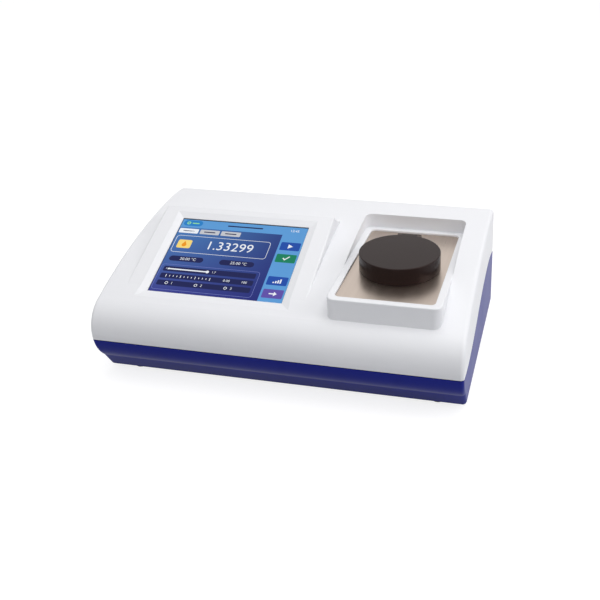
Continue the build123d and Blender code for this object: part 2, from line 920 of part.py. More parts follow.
# Steel plate of the stage on its gasket
plate_x = pocket_x - 2 * plate_fit
plate_y = pocket_y - 2 * plate_fit
bracket_screw_y = hinge_y + bracket_screw_back
bracket_screw_places = [
    (stage_x - bracket_screw_x, bracket_screw_y),
    (stage_x + bracket_screw_x, bracket_screw_y),
]
with BuildPart() as plate_gasket:
    add(stage_block(plate_x, plate_y, pocket_rounding - plate_fit, ledge_z, plate_z))
    add(
        stage_block(
            pocket_x - 2 * ledge_width, pocket_y - 2 * ledge_width, ledge_rounding, ledge_z, plate_z
        ),
        mode=Mode.SUBTRACT,
    )
pieces["plate_gasket"] = plate_gasket
with BuildPart() as stage_plate:
    add(stage_block(plate_x, plate_y, pocket_rounding - plate_fit, plate_z, plate_top_z))
    with BuildSketch(Plane.XY.offset(plate_z)):
        with Locations((stage_x, well_y)):
            Circle(dish_radius + dish_fit)
        with Locations(*bracket_screw_places):
            Circle(screw_radius + screw_fit)
    extrude(amount=plate_thickness, mode=Mode.SUBTRACT)
pieces["stage_plate"] = stage_plate

# Sample dish: a funnel with the prism in its floor and a groove for the seal below
with BuildPart() as sample_dish:
    with BuildSketch(Plane((stage_x, well_y, block_z))):
        Circle(dish_radius)
    extrude(amount=dish_height)
    with BuildSketch(Plane((stage_x, well_y, plate_top_z - well_depth))):
        Circle(well_floor_radius)
    with BuildSketch(Plane((stage_x, well_y, plate_top_z))):
        Circle(well_mouth_radius)
    loft(mode=Mode.SUBTRACT)
    with BuildSketch(Plane((stage_x, well_y, block_z))):
        Circle(prism_boss_radius + prism_fit)
    extrude(amount=dish_height, mode=Mode.SUBTRACT)
    with BuildSketch(Plane((stage_x, well_y, block_z))):
        Circle(seal_radius + seal_section + seal_fit)
    extrude(amount=2 * seal_section, mode=Mode.SUBTRACT)
pieces["sample_dish"] = sample_dish
with BuildPart() as prism_seal:
    with Locations((stage_x, well_y, block_z + seal_section)):
        Torus(seal_radius, seal_section)
pieces["prism_seal"] = prism_seal


# A block under the dish with two slanted sides, drawn out along Y
def wedge_solid(top_width, height, length):
    low_width = top_width - 2 * height / tan(radians(face_slope))
    face_plane = Plane(origin=(stage_x, well_y, block_z), x_dir=(1, 0, 0), z_dir=(0, -1, 0))
    with BuildPart() as wedge:
        with BuildSketch(face_plane):
            with BuildLine():
                Polyline(
                    (-top_width / 2, 0),
                    (top_width / 2, 0),
                    (low_width / 2, -height),
                    (-low_width / 2, -height),
                    close=True,
                )
            make_face()
        extrude(amount=length / 2, both=True)
    return wedge.part


with BuildPart() as prism:
    add(wedge_solid(prism_width, prism_height, prism_length))
    with BuildSketch(Plane((stage_x, well_y, block_z))):
        Circle(prism_boss_radius)
    extrude(amount=prism_boss_height)
pieces["prism"] = prism

# Optics block with the prism's pocket, two beam bores and the screw bores
sink_top_z = block_z
sink_screw_z = sink_top_z - sink_screw_drop
sink_screw_xs = (stage_x - sink_screw_x, stage_x + sink_screw_x)
probe_plane = Plane(
    origin=(stage_x, well_y - block_length / 2, block_z - probe_drop),
    x_dir=(1, 0, 0),
    z_dir=(0, -1, 0),
)
with BuildPart() as optics_block:
    add(wedge_solid(block_width, block_height, block_length))
    add(
        wedge_solid(
            prism_width + 2 * prism_fit, prism_height + prism_fit, prism_length + 2 * prism_fit
        ),
        mode=Mode.SUBTRACT,
    )
    for side in (-1, 1):
        with BuildSketch(beam_plane(side, 0)):
            Circle(beam_radius)
        extrude(amount=-beam_run * (block_width - prism_width) / 2, mode=Mode.SUBTRACT)
    for x in sink_screw_xs:
        with BuildSketch(rear_plane(x, block_back_y, sink_screw_z)):
            Circle(screw_radius + screw_fit)
        extrude(amount=-sink_bore_depth, mode=Mode.SUBTRACT)
    with BuildSketch(probe_plane):
        Circle(probe_radius + probe_fit)
    extrude(amount=-probe_depth, mode=Mode.SUBTRACT)
pieces["optics_block"] = optics_block
pieces["temperature_probe"] = rod_group(
    [probe_plane.offset(-probe_depth)], probe_radius, 0, probe_length
)


# A lens with a domed face, at a distance from the block's slanted face
def lens_solid(side, distance):
    plane = beam_plane(side, distance)
    with BuildPart() as lens:
        with BuildSketch(plane):
            Circle(barrel_bore - lens_fit)
        extrude(amount=lens_thickness)
        with Locations(plane.offset(lens_thickness - lens_dome)):
            Sphere(lens_dome, mode=Mode.INTERSECT)
    return lens.part


with BuildPart() as lenses:
    add(lens_solid(-1, lens_inset))
    add(lens_solid(1, lens_inset))
pieces["lenses"] = lenses

# Lamp side: barrel and the board with the diode
pieces["led_barrel"] = rod_group(
    [beam_plane(-1, 0)], barrel_radius, barrel_bore, led_barrel_length
)
with BuildPart() as led_board:
    with BuildSketch(beam_plane(-1, led_barrel_length)):
        Circle(barrel_radius)
    extrude(amount=led_board_thickness)
    with BuildSketch(beam_plane(-1, led_barrel_length)):
        Circle(led_radius)
    extrude(amount=-led_height)
pieces["led_board"] = led_board

# Sensor side: barrel, board and line sensor
pieces["lens_barrel"] = rod_group(
    [beam_plane(1, 0)], barrel_radius, barrel_bore, lens_barrel_length
)
pieces["sensor_board"] = block_group(
    [beam_plane(1, lens_barrel_length)],
    sensor_board_size,
    sensor_board_size,
    sensor_board_thickness,
)
pieces["line_sensor"] = block_group(
    [beam_plane(1, lens_barrel_length - sensor_thickness)],
    sensor_width,
    sensor_height,
    sensor_thickness,
)

# Stand that carries the optics on the floor: a foot and a hollow column
stand_low_z = boss_top_z
with BuildPart() as optics_stand:
    with BuildSketch(Plane((stage_x, well_y, stand_low_z))):
        Rectangle(stand_length_x, stand_length_y)
    extrude(amount=stand_foot_thickness)
    with BuildSketch(Plane((stage_x, well_y, stand_low_z))):
        Rectangle(block_foot_width, block_length)
    extrude(amount=block_low_z - stand_low_z)
    with BuildSketch(Plane((stage_x, well_y, stand_low_z))):
        Rectangle(block_foot_width - 2 * stand_wall, block_length - 2 * stand_wall)
    extrude(amount=block_low_z - stand_low_z, mode=Mode.SUBTRACT)
    with BuildSketch(Plane.XY.offset(stand_low_z)):
        with Locations(*stand_holes):
            Circle(screw_radius + screw_fit)
    extrude(amount=stand_foot_thickness, mode=Mode.SUBTRACT)
pieces["optics_stand"] = optics_stand

# Temperature control behind the block
peltier_z = block_z - peltier_drop - peltier_size / 2
pieces["peltier"] = block_group(
    [rear_plane(stage_x, block_back_y, peltier_z)], peltier_size, peltier_size, peltier_thickness
)
sink_y = block_back_y + peltier_thickness
sink_z = sink_top_z - sink_height / 2
with BuildPart() as heat_sink:
    with BuildSketch(rear_plane(stage_x, sink_y, sink_z)):
        Rectangle(sink_width, sink_height)
    extrude(amount=sink_base_thickness)
    with BuildSketch(rear_plane(stage_x, sink_y, sink_z)):
        with GridLocations(sink_fin_pitch, sink_fin_pitch, sink_fin_count, 1):
            Rectangle(sink_fin_thickness, sink_height)
    extrude(amount=sink_base_thickness + sink_fin_length)
    for x in sink_screw_xs:
        with BuildSketch(rear_plane(x, sink_y, sink_screw_z)):
            Circle(screw_radius + screw_fit)
        extrude(amount=sink_base_thickness, mode=Mode.SUBTRACT)
pieces["heat_sink"] = heat_sink
sink_seats = [rear_plane(x, sink_y + sink_base_thickness, sink_screw_z) for x in sink_screw_xs]
pieces["heat_sink_screws"] = screw_group(
    sink_seats, screw_head_radius, screw_head_height, screw_radius, sink_screw_length
)

# Lid: cap with the knuckle, liner and seal
lid_low_z = plate_top_z + lid_gap
lug_width = hinge_width - 2 * (ear_thickness + hinge_side_gap)
lug_start_y = well_y + lid_radius - lid_wall / 2
lug_low_z = hinge_z - knuckle_radius + lug_bottom_rise
lug_top_z = hinge_z + knuckle_radius
hinge_plane = Plane.YZ.offset(stage_x)
with BuildPart() as lid_cap:
    with BuildSketch(Plane((stage_x, well_y, lid_low_z))):
        Circle(lid_radius)
    extrude(amount=lid_height)
    fillet(lid_cap.faces().sort_by(Axis.Z)[-1].edges(), lid_edge)
    with BuildSketch(hinge_plane):
        with Locations((hinge_y, hinge_z)):
            Circle(knuckle_radius)
        with Locations(((lug_start_y + hinge_y) / 2, (lug_low_z + lug_top_z) / 2)):
            Rectangle(hinge_y - lug_start_y, lug_top_z - lug_low_z)
    extrude(amount=lug_width / 2, both=True)
    with BuildSketch(Plane((stage_x, well_y, lid_low_z))):
        Circle(lid_radius - lid_wall)
    extrude(amount=lid_height - lid_wall, mode=Mode.SUBTRACT)
    with BuildSketch(hinge_plane):
        with Locations((hinge_y, hinge_z)):
            Circle(hinge_pin_radius + hinge_running_fit)
    extrude(amount=hinge_width, both=True, mode=Mode.SUBTRACT)
pieces["lid_cap"] = lid_cap
liner_radius = lid_radius - lid_wall - liner_fit
liner_top_z = lid_low_z + lid_height - lid_wall
liner_low_z = lid_low_z + lid_seal_height
with BuildPart() as lid_liner:
    with BuildSketch(Plane((stage_x, well_y, liner_low_z))):
        Circle(liner_radius)
    extrude(amount=liner_top_z - liner_low_z)
    with BuildSketch(Plane((stage_x, well_y, liner_low_z))):
        Circle(liner_radius - liner_wall)
    extrude(amount=liner_top_z - liner_low_z - liner_thickness, mode=Mode.SUBTRACT)
pieces["lid_liner"] = lid_liner
pieces["lid_seal"] = rod_group(
    [Plane((stage_x, well_y, lid_low_z))],
    liner_radius,
    liner_radius - lid_seal_width,
    lid_seal_height,
)

# Hinge bracket with two ears, its pin, screws and nuts
bracket_y = hinge_y - knuckle_radius + bracket_foot_length / 2
bracket_top_z = plate_top_z + bracket_foot_thickness
with BuildPart() as hinge_bracket:
    with BuildSketch(hinge_plane):
        with Locations((hinge_y, hinge_z)):
            Circle(knuckle_radius)
        with Locations((hinge_y, (hinge_z + plate_top_z) / 2)):
            Rectangle(2 * knuckle_radius, hinge_height)
    extrude(amount=hinge_width / 2, both=True)
    with BuildSketch(Plane((stage_x, bracket_y, plate_top_z))):
        Rectangle(hinge_width, bracket_foot_length)
    extrude(amount=bracket_foot_thickness)
    with BuildSketch(Plane((stage_x, hinge_y, bracket_top_z))):
        Rectangle(hinge_width - 2 * ear_thickness, 2 * knuckle_radius)
    extrude(amount=far, mode=Mode.SUBTRACT)
    with BuildSketch(hinge_plane):
        with Locations((hinge_y, hinge_z)):
            Circle(hinge_pin_radius)
    extrude(amount=hinge_width, both=True, mode=Mode.SUBTRACT)
    with BuildSketch(Plane.XY.offset(plate_top_z)):
        with Locations(*bracket_screw_places):
            Circle(screw_radius + screw_fit)
    extrude(amount=bracket_foot_thickness, mode=Mode.SUBTRACT)
pieces["hinge_bracket"] = hinge_bracket
pin_plane = Plane(
    origin=(stage_x - hinge_width / 2, hinge_y, hinge_z), x_dir=(0, 1, 0), z_dir=(1, 0, 0)
)
pieces["hinge_pin"] = rod_group([pin_plane], hinge_pin_radius, 0, hinge_width)
pieces["hinge_screws"] = screw_group(
    upright(bracket_screw_places, bracket_top_z),
    screw_head_radius,
    screw_head_height,
    screw_radius,
    bracket_screw_length,
)
with BuildPart() as hinge_nuts:
    with BuildSketch(Plane.XY.offset(plate_z)):
        with Locations(*bracket_screw_places):
            RegularPolygon(nut_radius, 6)
            Circle(screw_radius, mode=Mode.SUBTRACT)
    extrude(amount=-nut_height)
pieces["hinge_nuts"] = hinge_nuts

# Standoffs and screws of both boards; the stand takes the same screws
pieces["board_standoffs"] = rod_group(
    upright(board_holes + supply_holes, boss_top_z),
    standoff_radius,
    screw_radius + screw_fit,
    standoff_height,
)
pieces["board_screws"] = screw_group(
    upright(floor_bosses, board_top_z),
    screw_head_radius,
    screw_head_height,
    screw_radius,
    board_screw_length,
)

# Main board with its components
pieces["main_board"] = board_solid((board_x, board_y), board_width, board_length, board_holes)
processor_y = board_y + processor_ahead
pieces["processor"] = block_group(
    [Plane((board_x, processor_y, board_top_z))],
    processor_size,
    processor_size,
    processor_thickness,
)
cooler_z = board_top_z + processor_thickness
with BuildPart() as processor_cooler:
    with BuildSketch(Plane((board_x, processor_y, cooler_z))):
        Rectangle(cooler_size, cooler_size)
    extrude(amount=cooler_base_thickness)
    with BuildSketch(Plane((board_x, processor_y, cooler_z))):
        with GridLocations(cooler_fin_pitch, cooler_fin_pitch, cooler_fin_count, 1):
            Rectangle(cooler_fin_thickness, cooler_size)
    extrude(amount=cooler_base_thickness + cooler_fin_height)
pieces["processor_cooler"] = processor_cooler
connector_x = board_x + board_width / 2 - connector_inset
with BuildPart() as board_connectors:
    with BuildSketch(Plane.XY.offset(board_top_z)):
        with Locations((ribbon_start.X, ribbon_end_y)):
            Rectangle(ribbon_width + connector_width, connector_width)
        for run in connector_rows:
            with Locations((connector_x, board_y - board_length / 2 + run)):
                Rectangle(connector_width, connector_length)
    extrude(amount=connector_height)
pieces["board_connectors"] = board_connectors

# Power supply board with its components
pieces["supply_board"] = board_solid(
    (supply_x, supply_y), supply_width, supply_length, supply_holes
)
with BuildPart() as transformer:
    with BuildSketch(Plane((supply_x + transformer_x, supply_y, board_top_z))):
        Rectangle(transformer_width, transformer_length)
    extrude(amount=transformer_height)
    with BuildSketch(Plane((supply_x + transformer_x, supply_y, board_top_z + winding_drop))):
        Rectangle(transformer_width - 2 * winding_margin, transformer_length + 2 * winding_margin)
    extrude(amount=transformer_height - 2 * winding_drop)
pieces["transformer"] = transformer
with BuildPart() as capacitors:
    with BuildSketch(Plane((supply_x + capacitor_x, supply_y, board_top_z))):
        with GridLocations(capacitor_pitch, capacitor_pitch, capacitor_count, 1):
            Circle(capacitor_radius)
    extrude(amount=capacitor_height)
    fillet(capacitors.faces().sort_by(Axis.Z)[-1].edges(), reveal)
pieces["capacitors"] = capacitors
pieces["cooling_plate"] = block_group(
    [Plane((supply_x, supply_y - cooling_plate_ahead, board_top_z))],
    cooling_plate_width,
    cooling_plate_thickness,
    cooling_plate_height,
)

# Rear panel with its cut-outs
serial_z = board_top_z + serial_height / 2
network_z = board_top_z + network_height / 2
usb_z = board_top_z + usb_height / 2
fan_z = panel_middle_z
fan_half_spacing = fan_hole_spacing / 2
fan_places = corner_places(stage_x, fan_z, fan_half_spacing, fan_half_spacing)
cutouts = [
    (inlet_x, panel_middle_z, inlet_body_width, inlet_body_height),
    (switch_x, panel_middle_z, switch_body_width, switch_body_height),
    (serial_x, serial_z, serial_shell_width, serial_shell_height),
    (network_x, network_z, network_width, network_height),
    (usb_x, usb_z, usb_width, usb_height),
]
with BuildPart() as rear_panel:
    with BuildSketch(rear_plane(0, inner_back_y, panel_middle_z)):
        Rectangle(panel_width, panel_height)
    extrude(amount=-panel_thickness)
    for x, z, length, height in cutouts:
        with BuildSketch(rear_plane(x, inner_back_y, z)):
            Rectangle(length + 2 * cutout_fit, height + 2 * cutout_fit)
        extrude(amount=-panel_thickness, mode=Mode.SUBTRACT)
    for x, z in panel_screw_places + fan_places:
        with BuildSketch(rear_plane(x, inner_back_y, z)):
            Circle(small_screw_radius + screw_fit)
        extrude(amount=-panel_thickness, mode=Mode.SUBTRACT)
    for side in (-1, 1):
        with BuildSketch(rear_plane(serial_x + side * serial_nut_spread, inner_back_y, serial_z)):
            Circle(serial_stud_radius + cutout_fit)
        extrude(amount=-panel_thickness, mode=Mode.SUBTRACT)
    with BuildSketch(rear_plane(stage_x, inner_back_y, fan_z)):
        Circle(grille_hole_radius)
        for ring in range(1, grille_ring_count + 1):
            with PolarLocations(ring * grille_ring_step, 6 * ring):
                Circle(grille_hole_radius)
    extrude(amount=-panel_thickness, mode=Mode.SUBTRACT)
pieces["rear_panel"] = rear_panel

# Countersunk screws, flush with the back
panel_screw_planes = [rear_plane(x, back_y, z) for x, z in panel_screw_places]
with BuildPart() as panel_screws:
    for plane in panel_screw_planes:
        with BuildSketch(plane):
            Circle(countersink_radius)
        extrude(amount=-(countersink_radius - small_screw_radius), taper=45)
        with BuildSketch(plane):
            Circle(small_screw_radius)
        extrude(amount=-panel_screw_length)
        with BuildSketch(plane):
            RegularPolygon(countersink_radius * socket_share, 6)
        extrude(amount=-small_head_height * socket_share, mode=Mode.SUBTRACT)
pieces["panel_screws"] = panel_screws

# Mains inlet with a socket above and a slot for the fuse drawer below
inlet_face_y = inner_back_y + inlet_flange_thickness
inlet_back_y = inner_back_y - inlet_body_depth
socket_z = panel_middle_z + socket_rise
drawer_z = panel_middle_z - drawer_drop
pin_places = [
    (inlet_x - pin_spread, socket_z - pin_offset),
    (inlet_x, socket_z + pin_offset),
    (inlet_x + pin_spread, socket_z - pin_offset),
]
pin_planes = [rear_plane(x, inlet_back_y - pin_tail, z) for x, z in pin_places]
pin_length = inlet_face_y - pin_inset - inlet_back_y + pin_tail
inlet_pins = block_group(pin_planes, pin_width, pin_height, pin_length)
with BuildPart() as inlet_body:
    with BuildSketch(rear_plane(inlet_x, inner_back_y, panel_middle_z)):
        Rectangle(inlet_flange_width, inlet_flange_height)
    extrude(amount=inlet_flange_thickness)
    with BuildSketch(rear_plane(inlet_x, inner_back_y, panel_middle_z)):
        Rectangle(inlet_body_width, inlet_body_height)
    extrude(amount=-inlet_body_depth)
    with BuildSketch(rear_plane(inlet_x, inlet_face_y, socket_z)):
        Rectangle(socket_width, socket_height)
    extrude(amount=-socket_depth, mode=Mode.SUBTRACT)
    with BuildSketch(rear_plane(inlet_x, inlet_face_y, drawer_z)):
        Rectangle(drawer_width, drawer_height)
    extrude(amount=-drawer_depth - drawer_fit, mode=Mode.SUBTRACT)
    add(inlet_pins.part, mode=Mode.SUBTRACT)
pieces["inlet_body"] = inlet_body
pieces["inlet_pins"] = inlet_pins

# Fuse drawer with two troughs, and the fuses in them
fuse_xs = (inlet_x - fuse_spread, inlet_x + fuse_spread)
fuse_y = inlet_face_y - drawer_depth / 2
trough_width = 2 * (fuse_radius + fuse_fit)
trough_length = fuse_length + 2 * fuse_fit
with BuildPart() as fuse_drawer:
    with BuildSketch(rear_plane(inlet_x, inlet_face_y - drawer_depth, drawer_z)):
        Rectangle(drawer_width - 2 * drawer_fit, drawer_height - 2 * drawer_fit)
    extrude(amount=drawer_depth + drawer_face_gap)
    with BuildSketch(rear_plane(inlet_x, inlet_face_y + drawer_face_gap, drawer_z)):
        Rectangle(drawer_width + drawer_face_border, drawer_height + drawer_face_border)
    extrude(amount=drawer_face_thickness)
    for x in fuse_xs:
        with BuildSketch(Plane((x, fuse_y, drawer_z - trough_width / 2))):
            Rectangle(trough_width, trough_length)
        extrude(amount=drawer_height, mode=Mode.SUBTRACT)
pieces["fuse_drawer"] = fuse_drawer
fuse_planes = [rear_plane(x, fuse_y - fuse_length / 2, drawer_z) for x in fuse_xs]
with BuildPart() as fuses:
    add(rod_group(fuse_planes, fuse_radius - fuse_cap_step, 0, fuse_length).part)
    for plane in fuse_planes:
        with BuildSketch(plane, plane.offset(fuse_length - fuse_cap_length)):
            Circle(fuse_radius)
        extrude(amount=fuse_cap_length)
pieces["fuses"] = fuses

# Power switch: housing and rocker, which pivots on two stubs
rocker_plane = Plane.YZ.offset(switch_x)
cavity_width = switch_body_width - 2 * switch_wall
cavity_height = switch_body_height - 2 * switch_wall
rocker_width = cavity_width - 2 * rocker_fit
with BuildPart() as switch_housing:
    with BuildSketch(rear_plane(switch_x, inner_back_y, panel_middle_z)):
        Rectangle(switch_flange_width, switch_flange_height)
    extrude(amount=switch_flange_thickness)
    with BuildSketch(rear_plane(switch_x, inner_back_y, panel_middle_z)):
        Rectangle(switch_body_width, switch_body_height)
    extrude(amount=-switch_body_depth)
    with BuildSketch(rear_plane(switch_x, rocker_y, panel_middle_z)):
        Rectangle(cavity_width, cavity_height)
    extrude(amount=switch_body_depth, mode=Mode.SUBTRACT)
    with BuildSketch(rear_plane(switch_x, rocker_y, panel_middle_z)):
        Rectangle(cavity_width, cavity_height)
    extrude(amount=-rocker_back - rocker_fit - rocker_swing, mode=Mode.SUBTRACT)
    with BuildSketch(rocker_plane):
        with Locations((rocker_y, panel_middle_z)):
            Circle(rocker_pin_radius + rocker_pin_fit)
    extrude(amount=switch_body_width, both=True, mode=Mode.SUBTRACT)
pieces["switch_housing"] = switch_housing
with BuildPart() as switch_rocker:
    with BuildSketch(rocker_plane):
        with Locations((rocker_y, panel_middle_z)):
            Circle(rocker_radius)
        with Locations(Location((rocker_y, panel_middle_z), rocker_tilt)):
            with Locations(((rocker_face - rocker_back) / 2, 0)):
                Rectangle(rocker_face + rocker_back, 2 * rocker_radius, mode=Mode.INTERSECT)
    extrude(amount=rocker_width / 2, both=True)
    with BuildSketch(rocker_plane):
        with Locations((rocker_y, panel_middle_z)):
            Circle(rocker_pin_radius)
    extrude(amount=rocker_width / 2 + switch_wall, both=True)
pieces["switch_rocker"] = switch_rocker

# Serial port: body behind the panel, shell through it and two hexagonal nuts
with BuildPart() as serial_port:
    with BuildSketch(rear_plane(serial_x, panel_y, serial_z)):
        Rectangle(serial_width, serial_height)
    extrude(amount=-serial_body_depth)
    with BuildSketch(rear_plane(serial_x, panel_y, serial_z)):
        Rectangle(serial_shell_width, serial_shell_height)
        Rectangle(
            serial_shell_width - 2 * serial_shell_wall,
            serial_shell_height - 2 * serial_shell_wall,
            mode=Mode.SUBTRACT,
        )
    extrude(amount=serial_shell_length)
    for side in (-1, 1):
        nut_x = serial_x + side * serial_nut_spread
        with BuildSketch(rear_plane(nut_x, panel_y, serial_z)):
            Circle(serial_stud_radius)
        extrude(amount=panel_thickness)
        with BuildSketch(rear_plane(nut_x, inner_back_y, serial_z)):
            RegularPolygon(serial_nut_radius, 6)
        extrude(amount=serial_nut_height)
pieces["serial_port"] = serial_port


# A jack that stands on the board's rear edge and reaches through the panel
def jack_solid(x, z, length, height):
    with BuildPart() as jack:
        with BuildSketch(rear_plane(x, inner_back_y + port_proud, z)):
            Rectangle(length, height)
        extrude(amount=-port_depth)
    return jack.part


with BuildPart() as network_port:
    add(jack_solid(network_x, network_z, network_width, network_height))
    with BuildSketch(rear_plane(network_x, inner_back_y + port_proud, network_z)):
        Rectangle(network_socket_width, network_socket_height)
    extrude(amount=-network_socket_depth, mode=Mode.SUBTRACT)
pieces["network_port"] = network_port
with BuildPart() as usb_ports:
    add(jack_solid(usb_x, usb_z, usb_width, usb_height))
    with BuildSketch(rear_plane(usb_x, inner_back_y + port_proud, usb_z)):
        with GridLocations(usb_pitch, usb_pitch, 1, 2):
            Rectangle(usb_socket_width, usb_socket_height)
    extrude(amount=-usb_socket_depth, mode=Mode.SUBTRACT)
    tongue_drop = (usb_socket_height - usb_tongue_thickness) / 4
    with BuildSketch(rear_plane(usb_x, inner_back_y, usb_z + tongue_drop)):
        with GridLocations(usb_pitch, usb_pitch, 1, 2):
            Rectangle(usb_socket_width - 2 * serial_shell_wall, usb_tongue_thickness)
    extrude(amount=port_proud - usb_socket_depth)
pieces["usb_ports"] = usb_ports

# Fan: frame with a hub plate on three struts, rotor and screws
fan_y = panel_y - fan_thickness
hub_y = panel_y - fan_motor_thickness
with BuildPart() as fan_frame:
    with BuildSketch(rear_plane(stage_x, fan_y, fan_z)):
        RectangleRounded(fan_size, fan_size, rim_width / 2)
        Circle(fan_bore, mode=Mode.SUBTRACT)
    extrude(amount=fan_thickness)
    with BuildSketch(rear_plane(stage_x, hub_y, fan_z)):
        Circle(fan_hub_radius)
        with PolarLocations(0, 3):
            with Locations((fan_bore / 2, 0)):
                Rectangle(fan_bore + fan_strut_width, fan_strut_width)
        Circle(fan_shaft_radius + fan_shaft_fit, mode=Mode.SUBTRACT)
    extrude(amount=fan_motor_thickness)
    for x, z in fan_places:
        with BuildSketch(rear_plane(x, fan_y, z)):
            Circle(small_screw_radius + screw_fit)
        extrude(amount=fan_thickness, mode=Mode.SUBTRACT)
pieces["fan_frame"] = fan_frame
rotor_y = hub_y - fan_gap - fan_rotor_length
rotor_plane = rear_plane(stage_x, rotor_y, fan_z)
blade_length = fan_blade_tip - fan_hub_radius
with BuildPart() as fan_rotor:
    with BuildSketch(rotor_plane):
        Circle(fan_hub_radius)
    extrude(amount=fan_rotor_length)
    with BuildSketch(rotor_plane):
        Circle(fan_shaft_radius)
    extrude(amount=fan_rotor_length + fan_motor_thickness)
    with Locations(rotor_plane.offset(fan_rotor_length / 2)):
        with PolarLocations(0, fan_blade_count):
            with Locations(Location((fan_blade_tip / 2, 0, 0), (fan_blade_pitch, 0, 0))):
                Box(fan_blade_tip, fan_blade_chord, fan_blade_thickness)
pieces["fan_rotor"] = fan_rotor
fan_seats = [rear_plane(x, inner_back_y, z) for x, z in fan_places]
pieces["fan_screws"] = screw_group(
    fan_seats, small_head_radius, small_head_height, small_screw_radius, fan_screw_length
)

for name, piece in pieces.items():
    piece.part.label = name
    export_step(piece.part, f"parts/{name}.step")
    print(name, round(piece.part.volume), len(piece.part.solids()), piece.part.is_valid)
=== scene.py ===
import math
import bpy
import numpy as np
from mathutils import Matrix, Vector


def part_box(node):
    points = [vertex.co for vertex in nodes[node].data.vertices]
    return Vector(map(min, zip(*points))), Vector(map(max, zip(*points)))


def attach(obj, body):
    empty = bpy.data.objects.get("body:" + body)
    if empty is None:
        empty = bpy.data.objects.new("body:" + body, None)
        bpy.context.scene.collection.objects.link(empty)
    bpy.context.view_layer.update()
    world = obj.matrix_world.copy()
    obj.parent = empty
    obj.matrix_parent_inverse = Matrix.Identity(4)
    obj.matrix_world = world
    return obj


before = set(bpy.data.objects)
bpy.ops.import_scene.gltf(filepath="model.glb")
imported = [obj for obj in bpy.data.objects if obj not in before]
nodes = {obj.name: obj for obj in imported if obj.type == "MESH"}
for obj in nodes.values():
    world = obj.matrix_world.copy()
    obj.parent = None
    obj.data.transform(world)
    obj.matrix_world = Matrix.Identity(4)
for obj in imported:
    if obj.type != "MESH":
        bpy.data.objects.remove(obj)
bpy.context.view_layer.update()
print("frame loaded:", len(nodes), "pieces of the refractometer")

mm = 0.001
plainWhite = (1.0, 1.0, 1.0, 1.0)


# helpers for node trees
def newGroup(name, inputs, outputs):
    group = bpy.data.node_groups.new(name, "ShaderNodeTree")
    for label, kind, value in inputs:
        socket = group.interface.new_socket(label, in_out="INPUT", socket_type=kind)
        socket.default_value = value
    for label, kind in outputs:
        group.interface.new_socket(label, in_out="OUTPUT", socket_type=kind)
    return group, group.nodes.new("NodeGroupInput"), group.nodes.new("NodeGroupOutput")


def addNode(tree, kind, links=None, **settings):
    node = tree.nodes.new(kind)
    for key, value in settings.items():
        setattr(node, key, value)
    for label, source in (links or {}).items():
        socket = node.inputs[label]
        if isinstance(source, bpy.types.NodeSocket):
            tree.links.new(source, socket)
        else:
            socket.default_value = source
    return node


def mathNode(tree, operation, first, second=0.0, clamp=False):
    node = addNode(tree, "ShaderNodeMath", {0: first, 1: second}, operation=operation, use_clamp=clamp)
    return node.outputs[0]


# a Mix node keeps its factor in socket 0, two numbers in sockets 2 and 3, two colours in 6 and 7
def mixColor(tree, factor, first, second):
    node = tree.nodes.new("ShaderNodeMix")
    node.data_type = "RGBA"
    for index, source in ((0, factor), (6, first), (7, second)):
        if isinstance(source, bpy.types.NodeSocket):
            tree.links.new(source, node.inputs[index])
        else:
            node.inputs[index].default_value = source if index == 0 else (*source, 1.0)
    return node.outputs[2]


def objectPlace(tree):
    return addNode(tree, "ShaderNodeTexCoord").outputs["Object"]


def noiseNode(tree, place, scale, detail):
    node = addNode(tree, "ShaderNodeTexNoise", {"Vector": place, "Scale": scale, "Detail": detail})
    return node.outputs[0]


# a pattern's scale from its size in millimetres: how many of them fit in a metre
def scaleOf(group, size):
    return mathNode(group, "DIVIDE", 1.0 / mm, size)


# gloss that drifts: the set value plus twice the spread times the noise's distance from its middle
def driftingGloss(group, gin, noise):
    lean = mathNode(group, "SUBTRACT", noise, 0.5)
    shift = mathNode(group, "MULTIPLY", lean, gin.outputs["Gloss Spread"])
    swing = mathNode(group, "MULTIPLY", shift, 2.0)
    return mathNode(group, "ADD", gin.outputs["Gloss"], swing, clamp=True)


# 1 for rays from the camera, mirrored rays and rays that passed glass, 0 for scattered light
def seenDirectly(tree):
    rays = tree.nodes.new("ShaderNodeLightPath")
    bent = mathNode(tree, "MAXIMUM", rays.outputs["Is Glossy Ray"], rays.outputs["Is Transmission Ray"])
    return mathNode(tree, "MAXIMUM", rays.outputs["Is Camera Ray"], bent)


mouldGrain = dict(fineDetail=2.0, slowDetail=3.0)


# spark-eroded grain: fine noise for height, slow noise for patches of gloss
def makeMouldGrain(look):
    group, gin, gout = newGroup(
        "mouldGrain",
        [("Grain Size", "NodeSocketFloat", 0.6), ("Patch Size", "NodeSocketFloat", 40.0),
         ("Gloss", "NodeSocketFloat", 0.4), ("Gloss Spread", "NodeSocketFloat", 0.06)],
        [("Height", "NodeSocketFloat"), ("Roughness", "NodeSocketFloat"), ("Patch", "NodeSocketFloat")],
    )
    place = objectPlace(group)
    fine = noiseNode(group, place, scaleOf(group, gin.outputs["Grain Size"]), look["fineDetail"])
    slow = noiseNode(group, place, scaleOf(group, gin.outputs["Patch Size"]), look["slowDetail"])
    group.links.new(fine, gout.inputs["Height"])
    group.links.new(driftingGloss(group, gin, slow), gout.inputs["Roughness"])
    group.links.new(slow, gout.inputs["Patch"])
    return group


brushing = dict(lineDetail=3.0, broadDetail=2.0, broadScale=0.12)


